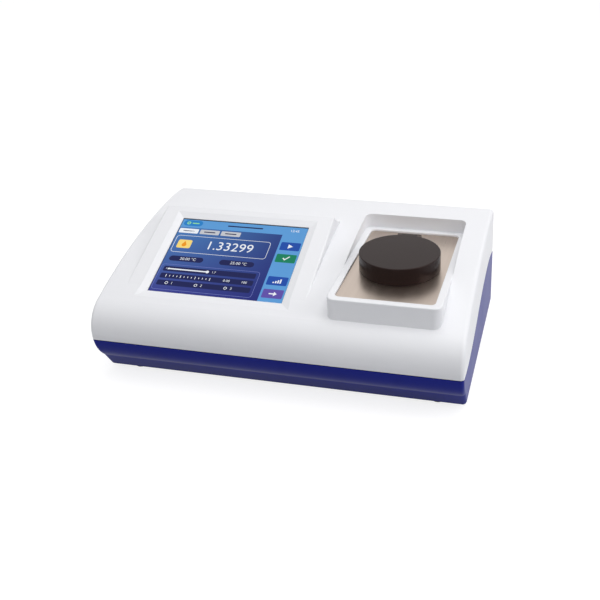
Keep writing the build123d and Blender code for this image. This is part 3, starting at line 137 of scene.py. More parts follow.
# brushing: noise drawn out along one axis, as height and as broader streaks
def makeBrushing(look):
    group, gin, gout = newGroup(
        "brushing",
        [("Across", "NodeSocketVector", (1.0, 0.02, 1.0)), ("Line Size", "NodeSocketFloat", 0.25),
         ("Gloss", "NodeSocketFloat", 0.25), ("Gloss Spread", "NodeSocketFloat", 0.1)],
        [("Height", "NodeSocketFloat"), ("Roughness", "NodeSocketFloat"), ("Streak", "NodeSocketFloat")],
    )
    drawn = addNode(group, "ShaderNodeVectorMath", {0: objectPlace(group), 1: gin.outputs["Across"]},
                    operation="MULTIPLY").outputs[0]
    scale = scaleOf(group, gin.outputs["Line Size"])
    lines = noiseNode(group, drawn, scale, look["lineDetail"])
    broadScale = mathNode(group, "MULTIPLY", scale, look["broadScale"])
    broad = noiseNode(group, drawn, broadScale, look["broadDetail"])
    group.links.new(lines, gout.inputs["Height"])
    group.links.new(driftingGloss(group, gin, broad), gout.inputs["Roughness"])
    group.links.new(broad, gout.inputs["Streak"])
    return group


edgeWearAndHighlight = dict(samples=6, contrast=6.0, rubScale=220.0, rubDetail=4.0)


# worn edges, and on the lid a painted rim highlight: where a rounded normal leaves the true one, broken up by
# noise
def makeEdgeWearAndHighlight(look):
    group, gin, gout = newGroup(
        "edgeWearAndHighlight",
        [("Radius", "NodeSocketFloat", 0.5), ("Amount", "NodeSocketFloat", 1.0)],
        [("Mask", "NodeSocketFloat"), ("Normal", "NodeSocketVector")],
    )
    radius = mathNode(group, "MULTIPLY", gin.outputs["Radius"], mm)
    rounded = addNode(group, "ShaderNodeBevel", {"Radius": radius}, samples=look["samples"]).outputs[0]
    plain = addNode(group, "ShaderNodeNewGeometry").outputs["Normal"]
    same = addNode(group, "ShaderNodeVectorMath", {0: rounded, 1: plain}, operation="DOT_PRODUCT")
    turned = mathNode(group, "SUBTRACT", 1.0, same.outputs["Value"])
    apart = mathNode(group, "MULTIPLY", turned, look["contrast"], clamp=True)
    rub = noiseNode(group, objectPlace(group), look["rubScale"], look["rubDetail"])
    broken = mathNode(group, "MULTIPLY", apart, rub)
    mask = mathNode(group, "MULTIPLY", broken, gin.outputs["Amount"], clamp=True)
    group.links.new(mask, gout.inputs["Mask"])
    group.links.new(rounded, gout.inputs["Normal"])
    return group


settledDust = dict(steepness=3.0, clumpScale=90.0, clumpDetail=6.0, color=(0.55, 0.53, 0.5))


# settled dust: faces that look up, with clumps of noise
def makeDust(look):
    group, gin, gout = newGroup(
        "dust", [("Amount", "NodeSocketFloat", 0.1)], [("Mask", "NodeSocketFloat")],
    )
    plain = addNode(group, "ShaderNodeNewGeometry")
    parts = addNode(group, "ShaderNodeSeparateXYZ", {0: plain.outputs["Normal"]})
    upward = mathNode(group, "MAXIMUM", parts.outputs["Z"], 0.0)
    level = mathNode(group, "POWER", upward, look["steepness"])
    clump = noiseNode(group, objectPlace(group), look["clumpScale"], look["clumpDetail"])
    clumped = mathNode(group, "MULTIPLY", level, clump)
    mask = mathNode(group, "MULTIPLY", clumped, gin.outputs["Amount"], clamp=True)
    group.links.new(mask, gout.inputs["Mask"])
    return group


effects = {"grain": makeMouldGrain(mouldGrain), "brush": makeBrushing(brushing),
           "wearAndHighlight": makeEdgeWearAndHighlight(edgeWearAndHighlight), "dust": makeDust(settledDust)}
print("effects made:", ", ".join(effects))


def useGroup(tree, effect, **values):
    node = tree.nodes.new("ShaderNodeGroup")
    node.node_tree = effects[effect]
    for label, value in values.items():
        node.inputs[label.replace("_", " ")].default_value = value
    return node


def useGrain(tree, look):
    return useGroup(tree, "grain", Grain_Size=look["grain"], Patch_Size=look["patch"],
                    Gloss=look["rough"], Gloss_Spread=look["spread"])


def useBrush(tree, look):
    return useGroup(tree, "brush", Across=look["across"], Line_Size=look["line"],
                    Gloss=look["rough"], Gloss_Spread=look["spread"])


def useWearAndHighlight(tree, look):
    return useGroup(tree, "wearAndHighlight", Radius=look["edge"], Amount=look["wearAndHighlight"])


def newMaterial(name):
    material = bpy.data.materials.new(name)
    material.use_nodes = True
    tree = material.node_tree
    tree.nodes.clear()
    shader = tree.nodes.new("ShaderNodeBsdfPrincipled")
    output = tree.nodes.new("ShaderNodeOutputMaterial")
    tree.links.new(shader.outputs[0], output.inputs[0])
    return material, tree, shader


# bumps on top of the rounded edges, their height in millimetres
def bumpNode(tree, pattern, wearAndHighlight, strength, height):
    node = addNode(tree, "ShaderNodeBump", {
        "Height": pattern.outputs["Height"], "Normal": wearAndHighlight.outputs["Normal"],
        "Strength": strength, "Distance": height * mm,
    })
    return node.outputs[0]


# how high the bumps stand, in millimetres
mouldedBump = 0.02
brushedBump = 0.01


# moulded, painted or sheet surfaces: grain in the height, slow patches in colour and gloss
def mouldedMaterial(name, look):
    material, tree, shader = newMaterial(name)
    grain, wearAndHighlight = useGrain(tree, look), useWearAndHighlight(tree, look)
    dust = useGroup(tree, "dust", Amount=look["dust"])
    base = mixColor(tree, grain.outputs["Patch"], look["color"], look["tint"])
    # edge colour laid by the edge mask: wear, and on the lid a painted rim highlight
    wearAndHighlightColor = mixColor(tree, wearAndHighlight.outputs["Mask"], base, look["wearAndHighlightColor"])
    dusty = mixColor(tree, dust.outputs["Mask"], wearAndHighlightColor, settledDust["color"])
    bump = bumpNode(tree, grain, wearAndHighlight, look["depth"], mouldedBump)
    tree.links.new(dusty, shader.inputs["Base Color"])
    tree.links.new(grain.outputs["Roughness"], shader.inputs["Roughness"])
    tree.links.new(bump, shader.inputs["Normal"])
    shader.inputs["Metallic"].default_value = look.get("metallic", 0.0)
    shader.inputs["Specular IOR Level"].default_value = look.get("specular", 0.5)
    shader.inputs["Specular Tint"].default_value = (*look.get("glint", (1.0, 1.0, 1.0)), 1.0)
    return material


# brushed or turned metal: streaks in height, colour and gloss
def metalMaterial(name, look):
    material, tree, shader = newMaterial(name)
    brush, wearAndHighlight = useBrush(tree, look), useWearAndHighlight(tree, look)
    base = mixColor(tree, brush.outputs["Streak"], look["color"], look["tint"])
    wearAndHighlightColor = mixColor(tree, wearAndHighlight.outputs["Mask"], base, look["wearAndHighlightColor"])
    bump = bumpNode(tree, brush, wearAndHighlight, look["depth"], brushedBump)
    tree.links.new(wearAndHighlightColor, shader.inputs["Base Color"])
    tree.links.new(brush.outputs["Roughness"], shader.inputs["Roughness"])
    tree.links.new(bump, shader.inputs["Normal"])
    shader.inputs["Metallic"].default_value = 1.0
    shader.inputs["Specular IOR Level"].default_value = 0.5
    return material


# clear glass with faint patches in colour and gloss
def glassMaterial(name, look):
    material, tree, shader = newMaterial(name)
    grain = useGrain(tree, look)
    base = mixColor(tree, grain.outputs["Patch"], look["color"], look["tint"])
    tree.links.new(base, shader.inputs["Base Color"])
    tree.links.new(grain.outputs["Roughness"], shader.inputs["Roughness"])
    shader.inputs["Metallic"].default_value = 0.0
    shader.inputs["Transmission Weight"].default_value = 1.0
    shader.inputs["IOR"].default_value = look["ior"]
    return material


# circuit board: copper tracks along the borders of a cell pattern, under green mask
def boardMaterial(name, look):
    material, tree, shader = newMaterial(name)
    cells = addNode(tree, "ShaderNodeTexVoronoi", {"Vector": objectPlace(tree), "Scale": look["cells"]},
                    feature="DISTANCE_TO_EDGE", distance="EUCLIDEAN")
    track = mathNode(tree, "LESS_THAN", cells.outputs["Distance"], look["trackWidth"])
    grain = useGrain(tree, look)
    base = mixColor(tree, grain.outputs["Patch"], look["color"], look["tint"])
    drawn = mixColor(tree, track, base, look["track"])
    bump = addNode(tree, "ShaderNodeBump", {
        "Height": track, "Strength": look["depth"], "Distance": look["trackHeight"] * mm,
    })
    tree.links.new(drawn, shader.inputs["Base Color"])
    tree.links.new(grain.outputs["Roughness"], shader.inputs["Roughness"])
    tree.links.new(bump.outputs[0], shader.inputs["Normal"])
    return material


# moulded and painted finishes: colours as linear light, grain, patch and edge in millimetres
mouldedLooks = {
    "whiteShell": dict(
        color=(0.79, 0.795, 0.82), tint=(0.77, 0.775, 0.805), wearAndHighlightColor=(0.84, 0.84, 0.85),
        rough=0.42, spread=0.05, grain=0.55, patch=60.0, depth=0.12, edge=0.5, wearAndHighlight=0.25, dust=0.02),
    "blueShell": dict(
        color=(0.02, 0.028, 0.255), tint=(0.017, 0.024, 0.235), wearAndHighlightColor=(0.04, 0.05, 0.3), specular=0.02,
        rough=0.3, spread=0.05, grain=0.5, patch=50.0, depth=0.1, edge=0.5, wearAndHighlight=0.3, dust=0.0),
    # the lid's lighter edge colour is a painted rim highlight as well as wear
    "lidBlack": dict(
        color=(0.019, 0.011, 0.01), tint=(0.015, 0.009, 0.0085), wearAndHighlightColor=(0.09, 0.07, 0.06), specular=0.12,
        rough=0.24, spread=0.05, grain=0.5, patch=30.0, depth=0.08, edge=0.35, wearAndHighlight=0.3, dust=0.0,
        glint=(1.0, 0.78, 0.73)),
    "liner": dict(
        color=(0.72, 0.72, 0.70), tint=(0.68, 0.68, 0.66), wearAndHighlightColor=(0.76, 0.76, 0.75),
        rough=0.5, spread=0.06, grain=0.8, patch=20.0, depth=0.1, edge=0.3, wearAndHighlight=0.2, dust=0.0),
    "rubber": dict(
        color=(0.018, 0.018, 0.018), tint=(0.026, 0.026, 0.026), wearAndHighlightColor=(0.06, 0.06, 0.06), specular=0.3,
        rough=0.75, spread=0.08, grain=0.4, patch=12.0, depth=0.5, edge=0.3, wearAndHighlight=0.5, dust=0.05),
    "blackPlastic": dict(
        color=(0.018, 0.018, 0.02), tint=(0.025, 0.025, 0.027), wearAndHighlightColor=(0.08, 0.08, 0.08),
        rough=0.42, spread=0.08, grain=0.4, patch=15.0, depth=0.25, edge=0.25, wearAndHighlight=0.5, dust=0.03),
    "chip": dict(
        color=(0.02, 0.02, 0.022), tint=(0.03, 0.03, 0.03), wearAndHighlightColor=(0.08, 0.08, 0.08),
        rough=0.5, spread=0.08, grain=0.3, patch=8.0, depth=0.3, edge=0.2, wearAndHighlight=0.3, dust=0.03),
    "ceramic": dict(
        color=(0.7, 0.68, 0.62), tint=(0.64, 0.62, 0.57), wearAndHighlightColor=(0.75, 0.73, 0.68),
        rough=0.55, spread=0.05, grain=0.3, patch=10.0, depth=0.2, edge=0.2, wearAndHighlight=0.2, dust=0.0),
    "ribbonFilm": dict(
        color=(0.5, 0.17, 0.02), tint=(0.42, 0.13, 0.015), wearAndHighlightColor=(0.6, 0.3, 0.1),
        rough=0.3, spread=0.08, grain=0.5, patch=14.0, depth=0.1, edge=0.1, wearAndHighlight=0.2, dust=0.0),
    "lamination": dict(
        color=(0.12, 0.09, 0.05), tint=(0.18, 0.13, 0.07), wearAndHighlightColor=(0.35, 0.33, 0.3), metallic=0.4,
        rough=0.45, spread=0.1, grain=0.6, patch=12.0, depth=0.4, edge=0.3, wearAndHighlight=0.7, dust=0.05),
    "sleeve": dict(
        color=(0.02, 0.025, 0.07), tint=(0.03, 0.035, 0.09), wearAndHighlightColor=(0.1, 0.1, 0.15),
        rough=0.3, spread=0.06, grain=0.5, patch=14.0, depth=0.1, edge=0.3, wearAndHighlight=0.3, dust=0.02),
}
# metals: the pattern is drawn out along the axis with the small number
metalLooks = {
    "stageSteel": dict(
        color=(0.62, 0.525, 0.455), tint=(0.54, 0.455, 0.395), wearAndHighlightColor=(0.8, 0.76, 0.7),
        rough=0.3, spread=0.06, line=0.5, across=(1.0, 0.015, 1.0), depth=0.12, edge=0.25, wearAndHighlight=0.4),
    "hingeSteel": dict(
        color=(0.09, 0.07, 0.065), tint=(0.06, 0.05, 0.045), wearAndHighlightColor=(0.35, 0.32, 0.3),
        rough=0.4, spread=0.1, line=0.3, across=(0.05, 1.0, 1.0), depth=0.3, edge=0.25, wearAndHighlight=0.7),
    "screwSteel": dict(
        color=(0.6, 0.6, 0.61), tint=(0.5, 0.5, 0.52), wearAndHighlightColor=(0.75, 0.75, 0.75),
        rough=0.3, spread=0.1, line=0.3, across=(1.0, 1.0, 0.1), depth=0.2, edge=0.15, wearAndHighlight=0.6),
    "brass": dict(
        color=(0.75, 0.5, 0.2), tint=(0.65, 0.42, 0.17), wearAndHighlightColor=(0.9, 0.7, 0.4),
        rough=0.25, spread=0.08, line=0.3, across=(1.0, 1.0, 0.1), depth=0.2, edge=0.15, wearAndHighlight=0.5),
    "blackAluminium": dict(
        color=(0.05, 0.05, 0.055), tint=(0.035, 0.035, 0.04), wearAndHighlightColor=(0.5, 0.5, 0.5),
        rough=0.4, spread=0.08, line=0.3, across=(1.0, 0.2, 1.0), depth=0.2, edge=0.25, wearAndHighlight=0.6),
    "bareAluminium": dict(
        color=(0.7, 0.7, 0.72), tint=(0.6, 0.6, 0.63), wearAndHighlightColor=(0.85, 0.85, 0.86),
        rough=0.38, spread=0.1, line=0.4, across=(0.03, 1.0, 1.0), depth=0.3, edge=0.25, wearAndHighlight=0.5),
    "tinPlate": dict(
        color=(0.62, 0.62, 0.63), tint=(0.55, 0.55, 0.57), wearAndHighlightColor=(0.8, 0.8, 0.8),
        rough=0.28, spread=0.1, line=0.4, across=(1.0, 1.0, 0.1), depth=0.2, edge=0.2, wearAndHighlight=0.5),
}
glassLooks = {
    "opticalGlass": dict(
        color=(0.94, 0.97, 0.98), tint=(0.9, 0.95, 0.97),
        rough=0.02, spread=0.01, grain=2.0, patch=10.0, ior=1.76),
    "fuseGlass": dict(
        color=(0.93, 0.96, 0.95), tint=(0.9, 0.94, 0.93),
        rough=0.05, spread=0.02, grain=2.0, patch=8.0, ior=1.5),
}
boardLook = dict(
    color=(0.008, 0.07, 0.025), tint=(0.006, 0.055, 0.02), track=(0.02, 0.13, 0.045), cells=260.0,
    trackWidth=0.035, trackHeight=0.05, depth=0.4, rough=0.35, spread=0.1, grain=0.4, patch=25.0)

materials = {name: mouldedMaterial(name, look) for name, look in mouldedLooks.items()}
materials.update({name: metalMaterial(name, look) for name, look in metalLooks.items()})
materials.update({name: glassMaterial(name, look) for name, look in glassLooks.items()})
materials["circuitBoard"] = boardMaterial("circuitBoard", boardLook)
print("materials made:", len(materials))

finishOf = {
    "whiteShell": ["top_cover"],
    "blueShell": ["base_cover"],
    "rubber": ["feet", "display_gasket", "plate_gasket", "prism_seal", "lid_seal"],
    "lidBlack": ["lid_cap"],
    "liner": ["lid_liner"],
    "stageSteel": ["stage_plate", "sample_dish", "temperature_probe"],
    "hingeSteel": ["hinge_bracket"],
    "screwSteel": ["cover_screws", "foot_screws", "display_screws", "heat_sink_screws", "board_screws",
                   "panel_screws", "fan_screws", "hinge_screws", "hinge_nuts", "hinge_pin",
                   "board_standoffs"],
    "brass": ["cover_inserts", "inlet_pins"],
    "opticalGlass": ["prism", "lenses"],
    "fuseGlass": ["fuses"],
    "blackAluminium": ["optics_block", "led_barrel", "lens_barrel"],
    "bareAluminium": ["optics_stand", "heat_sink", "processor_cooler", "cooling_plate", "rear_panel"],
    "tinPlate": ["lcd_module", "display_frame", "serial_port", "network_port", "usb_ports"],
    "circuitBoard": ["main_board", "sensor_board", "led_board", "supply_board"],
    "chip": ["processor", "line_sensor", "board_connectors"],
    "ceramic": ["peltier"],
    "ribbonFilm": ["display_ribbon"],
    "lamination": ["transformer"],
    "sleeve": ["capacitors"],
    "blackPlastic": ["inlet_body", "fuse_drawer", "switch_housing", "switch_rocker", "fan_frame",
                     "fan_rotor", "touch_panel"],
}
for finish, names in finishOf.items():
    for name in names:
        for slot in nodes[name].material_slots:
            slot.material = materials[finish]
print("finishes on:", sum(len(names) for names in finishOf.values()), "pieces")

# the display, drawn as thin flat pieces just over the touch panel: tilt in degrees, sizes in millimetres
display = dict(tilt=21.4, panelThickness=1.8, width=143.0, height=105.2, bleed=0.4)
# how far each layer of the drawing lies over the panel, in millimetres
layers = dict(picture=0.05, field=0.1, raised=0.13, ink=0.16, windowShade=0.2)
panelLow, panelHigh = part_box("touch_panel")
tilt = math.radians(display["tilt"])
screenRight = np.array([1.0, 0.0, 0.0])
screenUp = np.array([0.0, math.cos(tilt), math.sin(tilt)])
screenOut = np.array([0.0, -math.sin(tilt), math.cos(tilt)])
screenMiddle = np.array((panelLow + panelHigh) / 2) + screenOut * display["panelThickness"] / 2 * mm


# flat screen millimetres to the frame: middle + across + up + a lift along the normal
def onScreen(flat, lift):
    flat = np.asarray(flat, float) * mm
    return screenMiddle + flat[:, :1] * screenRight + flat[:, 1:2] * screenUp + screenOut * lift * mm


def addPiece(name, points, faces, material, body):
    mesh = bpy.data.meshes.new(name)
    mesh.from_pydata(np.asarray(points).tolist(), [], faces)
    mesh.update()
    piece = bpy.data.objects.new(name, mesh)
    bpy.context.scene.collection.objects.link(piece)
    mesh.materials.append(material)
    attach(piece, body)
    return piece


def plainCorners(left, low, right, high):
    return [(left, low), (right, low), (right, high), (left, high)]


# points in a quarter circle, and steps in a curve of a letter
cornerSteps = 6
letterSteps = 3


# rounded box: four quarter circles walked counter-clockwise, with every side moved in by the inset;
# its x and y count from the given middle
def roundedBox(box, middle=(0.0, 0.0), inset=0.0):
    x, y = middle[0] + box[0], middle[1] + box[1]
    width, height = box[2] - 2 * inset, box[3] - 2 * inset
    radius = min(box[4] - inset, width / 2, height / 2)
    turn = np.linspace(0, math.pi / 2, cornerSteps)
    corners = [(1, 1, 0), (-1, 1, 1), (-1, -1, 2), (1, -1, 3)]
    rows = [
        np.stack([x + i * (width / 2 - radius) + radius * np.cos(turn + k * math.pi / 2),
                  y + j * (height / 2 - radius) + radius * np.sin(turn + k * math.pi / 2)], 1)
        for i, j, k in corners
    ]
    return np.concatenate(rows)


litLook = dict(base=(0.002, 0.002, 0.003, 1.0), specular=0.08, rough=0.32, spread=0.04, grain=0.5,
               patch=35.0, strength=1.0, dim=0.9)


# dark glossy face that shines by itself; the caller links the colour it shines with
def newLitMaterial(name, look):
    material, tree, shader = newMaterial(name)
    grain = useGrain(tree, look)
    tree.links.new(grain.outputs["Roughness"], shader.inputs["Roughness"])
    shader.inputs["Base Color"].default_value = look["base"]
    shader.inputs["Specular IOR Level"].default_value = look["specular"]
    shader.inputs["Emission Strength"].default_value = look["strength"]
    return material, tree, shader, grain


# lit pixels of one colour, a little dimmer in slow patches
def litMaterial(name, light):
    material, tree, shader, grain = newLitMaterial(name, litLook)
    dimmed = tuple(channel * litLook["dim"] for channel in light)
    tree.links.new(mixColor(tree, grain.outputs["Patch"], light, dimmed), shader.inputs["Emission Color"])
    return material


# a screen colour, its channels from 0 to 255, turned to linear light
def srgb(red, green, blue):
    return tuple(((channel / 255 + 0.055) / 1.055) ** 2.4 for channel in (red, green, blue))


# one layer of flat drawing on the screen, gathered in millimetres and then built as one piece
class FlatArt:
    def __init__(self):
        self.points, self.faces = [], []

    def addFace(self, outline):
        start = len(self.points)
        self.points.extend(np.asarray(outline).tolist())
        self.faces.append(list(range(start, start + len(outline))))

    def addRing(self, outer, inner):
        start, count = len(self.points), len(outer)
        self.points.extend(np.asarray(outer).tolist() + np.asarray(inner).tolist())
        for i in range(count):
            j = (i + 1) % count
            self.faces.append([start + i, start + j, start + count + j, start + count + i])

    def addBox(self, box, middle=(0.0, 0.0)):
        self.addFace(roundedBox(box, middle))

    def addFrame(self, box, line, middle=(0.0, 0.0)):
        self.addRing(roundedBox(box, middle), roundedBox(box, middle, line))

    def addText(self, words, x, y, size):
        curve = bpy.data.curves.new("screenText", "FONT")
        curve.body, curve.size, curve.resolution_u = words, size, letterSteps
        curve.align_x, curve.align_y = "CENTER", "CENTER"
        holder = bpy.data.objects.new("screenText", curve)
        bpy.context.scene.collection.objects.link(holder)
        bpy.context.view_layer.update()
        mesh = bpy.data.meshes.new_from_object(holder.evaluated_get(bpy.context.evaluated_depsgraph_get()))
        start = len(self.points)
        self.points.extend([[corner.co.x + x, corner.co.y + y] for corner in mesh.vertices])
        self.faces.extend([[start + i for i in face.vertices] for face in mesh.polygons])
        bpy.data.objects.remove(holder)
        bpy.data.curves.remove(curve)
        bpy.data.meshes.remove(mesh)

    def build(self, name, layer, material):
        points = onScreen(self.points, layers[layer])
        return addPiece(name, points, self.faces, material, "instrument")

    def light(self, name, layer, color):
        return self.build(name, layer, litMaterial(name, color))


pictureLook = dict(topLeft=srgb(72, 128, 188), topRight=srgb(32, 40, 112), lowLeft=srgb(58, 62, 140),
                   lowRight=srgb(26, 34, 112), columns=25, rows=19)


# colour mixed between the picture's four corners by its own UV map
def pictureMaterial(look):
    material, tree, shader, _ = newLitMaterial("screenPicture", litLook)
    uv = addNode(tree, "ShaderNodeSeparateXYZ", {0: addNode(tree, "ShaderNodeUVMap").outputs[0]})
    upper = mixColor(tree, uv.outputs["X"], look["topLeft"], look["topRight"])
    lower = mixColor(tree, uv.outputs["X"], look["lowLeft"], look["lowRight"])
    tree.links.new(mixColor(tree, uv.outputs["Y"], lower, upper), shader.inputs["Emission Color"])
    return material


# picture: a grid over the window, x and y running evenly from one side to the other with u and v
def makePicture(look):
    width = display["width"] + 2 * display["bleed"]
    height = display["height"] + 2 * display["bleed"]
    u, v = np.meshgrid(np.linspace(0, 1, look["columns"]), np.linspace(0, 1, look["rows"]))
    flat = np.stack([(u.ravel() - 0.5) * width, (v.ravel() - 0.5) * height], 1)
    index = np.arange(u.size).reshape(u.shape)
    quads = np.stack([index[:-1, :-1], index[:-1, 1:], index[1:, 1:], index[1:, :-1]], -1).reshape(-1, 4)
    points, material = onScreen(flat, layers["picture"]), pictureMaterial(look)
    piece = addPiece("screenPicture", points, quads.tolist(), material, "instrument")
    layer = piece.data.uv_layers.new(name="picture")
    order = np.empty(len(piece.data.loops), int)
    piece.data.loops.foreach_get("vertex_index", order)
    layer.data.foreach_set("uv", np.stack([u.ravel()[order], v.ravel()[order]], 1).ravel())
    return piece


makePicture(pictureLook)

# from the screen's middle, in millimetres: a box is x, y, width, height and corner radius,
# and a text is its words, x, y and letter size
headLook = dict(bar=(0.0, 46.3, 143.0, 12.6, 0.05), badge=(-58.0, 46.6, 22.0, 8.4, 4.2),
                title=(2.0, 46.4, 40.0, 1.8, 0.9), clock=("12:45", 57.5, 46.4, 4.6),
                barColor=srgb(92, 156, 216), badgeColor=srgb(40, 128, 200))
tabLook = dict(box=(0.0, 0.0, 22.0, 6.6, 1.0), middles=[(-59.0, 34.9), (-35.0, 34.9), (-11.0, 34.9)],
               note=(0.0, 0.0, 13.0, 1.5, 0.7), color=srgb(198, 200, 206), noteColor=srgb(30, 36, 80))
columnLook = dict(box=(58.5, -6.3, 26.0, 92.6, 0.8), color=srgb(92, 156, 216))
readingLook = dict(frame=(-16.0, 15.6, 106.0, 24.5, 3.5), line=0.5, number=("1.33299", -6.0, 15.6, 16.5),
                   pills=[(-47.0, -5.6, 38.0, 7.2, 3.6), (9.0, -5.6, 38.0, 7.2, 3.6)],
                   pillTexts=[("20.00 °C", -45.0, -5.6, 5.0), ("25.00 °C", 11.0, -5.6, 5.0)])
listLook = dict(frame=(-16.0, -31.5, 108.0, 34.5, 3.5), line=0.4, strip=(0.0, 0.0, 101.0, 6.8, 1.5),
                middles=[(-16.0, -20.5), (-16.0, -30.0), (-16.0, -39.5)],
                frameColor=srgb(120, 130, 200), stripColor=srgb(26, 32, 84))


def drawHead():
    bar, column, badge = FlatArt(), FlatArt(), FlatArt()
    bar.addBox(headLook["bar"])
    bar.light("screenBar", "field", headLook["barColor"])
    column.addBox(columnLook["box"])
    column.light("screenColumn", "field", columnLook["color"])
    badge.addBox(headLook["badge"])
    badge.light("screenBadge", "raised", headLook["badgeColor"])


# the first tab is chosen, so it is drawn in white with the rest of the ink
def drawTabs():
    tabs = FlatArt()
    for middle in tabLook["middles"][1:]:
        tabs.addBox(tabLook["box"], middle)
    tabs.light("screenTabs", "field", tabLook["color"])


def drawStrips():
    strips = FlatArt()
    for pill in readingLook["pills"]:
        strips.addBox(pill)
    for middle in listLook["middles"]:
        strips.addBox(listLook["strip"], middle)
    strips.light("screenStrips", "field", listLook["stripColor"])


def drawListFrame():
    frameLine = FlatArt()
    frameLine.addFrame(listLook["frame"], listLook["line"])
    frameLine.light("screenFrameLine", "field", listLook["frameColor"])


buttonLook = dict(box=(0.0, 0.0, 21.5, 11.5, 1.2),
                  middles=[(58.5, 24.0), (58.5, 7.0), (58.5, -24.0), (58.5, -41.0)],
                  colors=[srgb(28, 76, 168), srgb(16, 128, 92), srgb(28, 76, 168), srgb(96, 80, 168)])


def drawButtons():
    for index, (middle, color) in enumerate(zip(buttonLook["middles"], buttonLook["colors"])):
        button = FlatArt()
        button.addBox(buttonLook["box"], middle)
        button.light(f"screenButton{index + 1}", "raised", color)


def inkReadings(ink):
    ink.addBox(tabLook["box"], tabLook["middles"][0])
    ink.addFrame(readingLook["frame"], readingLook["line"])
    ink.addText(*readingLook["number"])
    for words in readingLook["pillTexts"]:
        ink.addText(*words)
    ink.addText(*headLook["clock"])


levelRow = dict(track=(-24.0, 0.0, 44.0, 1.6, 0.8), knob=(-2.0, 0.0, 3.6, 3.6, 1.8),
                ends=[("1.3", -46.0), ("1.7", 5.0)], textSize=3.6)


# first strip: a level bar with a knob
def inkLevel(ink, look, middle):
    ink.addBox(look["track"], middle)
    ink.addBox(look["knob"], middle)
    for words, along in look["ends"]:
        ink.addText(words, middle[0] + along, middle[1], look["textSize"])


tickRow = dict(first=-44.0, pitch=4.0, count=13, longEvery=4, width=0.7, long=3.4, short=2.0, radius=0.1,
               numbers=[("0.00", 22.0), ("100", 41.0)], textSize=4.2)


# second strip: a row of ticks, with a longer one at every fourth step
def inkTicks(ink, look, middle):
    for step in range(look["count"]):
        tall = look["long"] if step % look["longEvery"] == 0 else look["short"]
        along = look["first"] + step * look["pitch"]
        ink.addBox((along, 0.0, look["width"], tall, look["radius"]), middle)
    for words, along in look["numbers"]:
        ink.addText(words, middle[0] + along, middle[1], look["textSize"])


choiceRow = dict(ring=(0.0, 0.0, 3.6, 3.6, 1.8), line=0.6, beside=6.0,
                 choices=[("1", -40.0), ("2", -8.0), ("3", 24.0)], textSize=4.2)


# third strip: three round choices
def inkChoices(ink, look, middle):
    for words, along in look["choices"]:
        spot = middle[0] + along
        ink.addFrame(look["ring"], look["line"], (spot, middle[1]))
        ink.addText(words, spot + look["beside"], middle[1], look["textSize"])


# signs on the four buttons, in millimetres from each button's middle
startSign = [[(-2.2, -3.0), (3.0, 0.0), (-2.2, 3.0)]]
acceptSign = [[(-3.6, 0.0), (-1.0, -2.8), (-1.0, -1.0), (-2.7, 0.9)],
              [(-1.0, -2.8), (4.0, 2.4), (3.1, 3.3), (-1.0, -1.0)]]
barsSign = dict(count=4, left=-3.6, foot=-3.0, pitch=2.4, width=1.5, low=1.6, rise=1.3, radius=0.1)
arrowSign = dict(shaft=(-1.4, 0.0, 5.2, 1.5, 0.1), head=[[(1.0, -2.8), (4.4, 0.0), (1.0, 2.8)]])


def inkOutlines(ink, outlines, middle):
    for outline in outlines:
        ink.addFace([(middle[0] + x, middle[1] + y) for x, y in outline])


# bars that stand on one foot line and rise from left to right
def inkBars(ink, look, middle):
    for step in range(look["count"]):
        tall = look["low"] + step * look["rise"]
        along = look["left"] + step * look["pitch"]
        ink.addBox((along, look["foot"] + tall / 2, look["width"], tall, look["radius"]), middle)


def inkSigns(ink):
    start, accept, results, onward = buttonLook["middles"]
    inkOutlines(ink, startSign, start)
    inkOutlines(ink, acceptSign, accept)
    inkBars(ink, barsSign, results)
    ink.addBox(arrowSign["shaft"], onward)
    inkOutlines(ink, arrowSign["head"], onward)


inkColor = srgb(240, 244, 250)


def drawInk():
    ink = FlatArt()
    first, second, third = listLook["middles"]
    inkReadings(ink)
    inkLevel(ink, levelRow, first)
    inkTicks(ink, tickRow, second)
    inkChoices(ink, choiceRow, third)
    inkSigns(ink)
    ink.light("screenWhite", "ink", inkColor)


dropLook = dict(tile=(-57.0, 15.6, 15.5, 12.0, 2.0), tip=4.4, sink=1.2, radius=2.6, steps=17,
                tileColor=srgb(250, 218, 120), color=srgb(238, 150, 24))


# drop: a circle's arc from the upper left round the bottom to the upper right, closed by the tip
def drawDrop(look):
    tile, drop = FlatArt(), FlatArt()
    tile.addBox(look["tile"])
    tile.light("screenTile", "raised", look["tileColor"])
    x, y = look["tile"][:2]
    turn = np.linspace(-1.25 * math.pi, 0.25 * math.pi, look["steps"])
    arc = np.stack([x + look["radius"] * np.cos(turn), y - look["sink"] + look["radius"] * np.sin(turn)], 1)
    drop.addFace(np.vstack([[x, y + look["tip"]], arc]))
    drop.light("screenDrop", "ink", look["color"])


badgeSign = dict(ring=(-5.0, 0.0, 4.4, 4.4, 2.2), line=1.1, stroke=(3.0, 0.0, 8.0, 1.4, 0.7),
                 color=srgb(150, 226, 150))


def drawBadgeSign(look):
    sign = FlatArt()
    middle = headLook["badge"][:2]
    sign.addFrame(look["ring"], look["line"], middle)
    sign.addBox(look["stroke"], middle)
    sign.light("screenRing", "ink", look["color"])


# dark strokes where a title and the tabs' words would stand
def drawNotes():
    notes = FlatArt()
    notes.addBox(headLook["title"])
    for middle in tabLook["middles"]:
        notes.addBox(tabLook["note"], middle)
    notes.light("screenNotes", "ink", tabLook["noteColor"])


# painted shade: a black ring over the picture's rim standing for the shadow gap at the window's edge; how far
# it reaches in from the window's edge
windowShadeLook = dict(side=0.5, below=0.2, above=0.9, finish="blackPlastic")


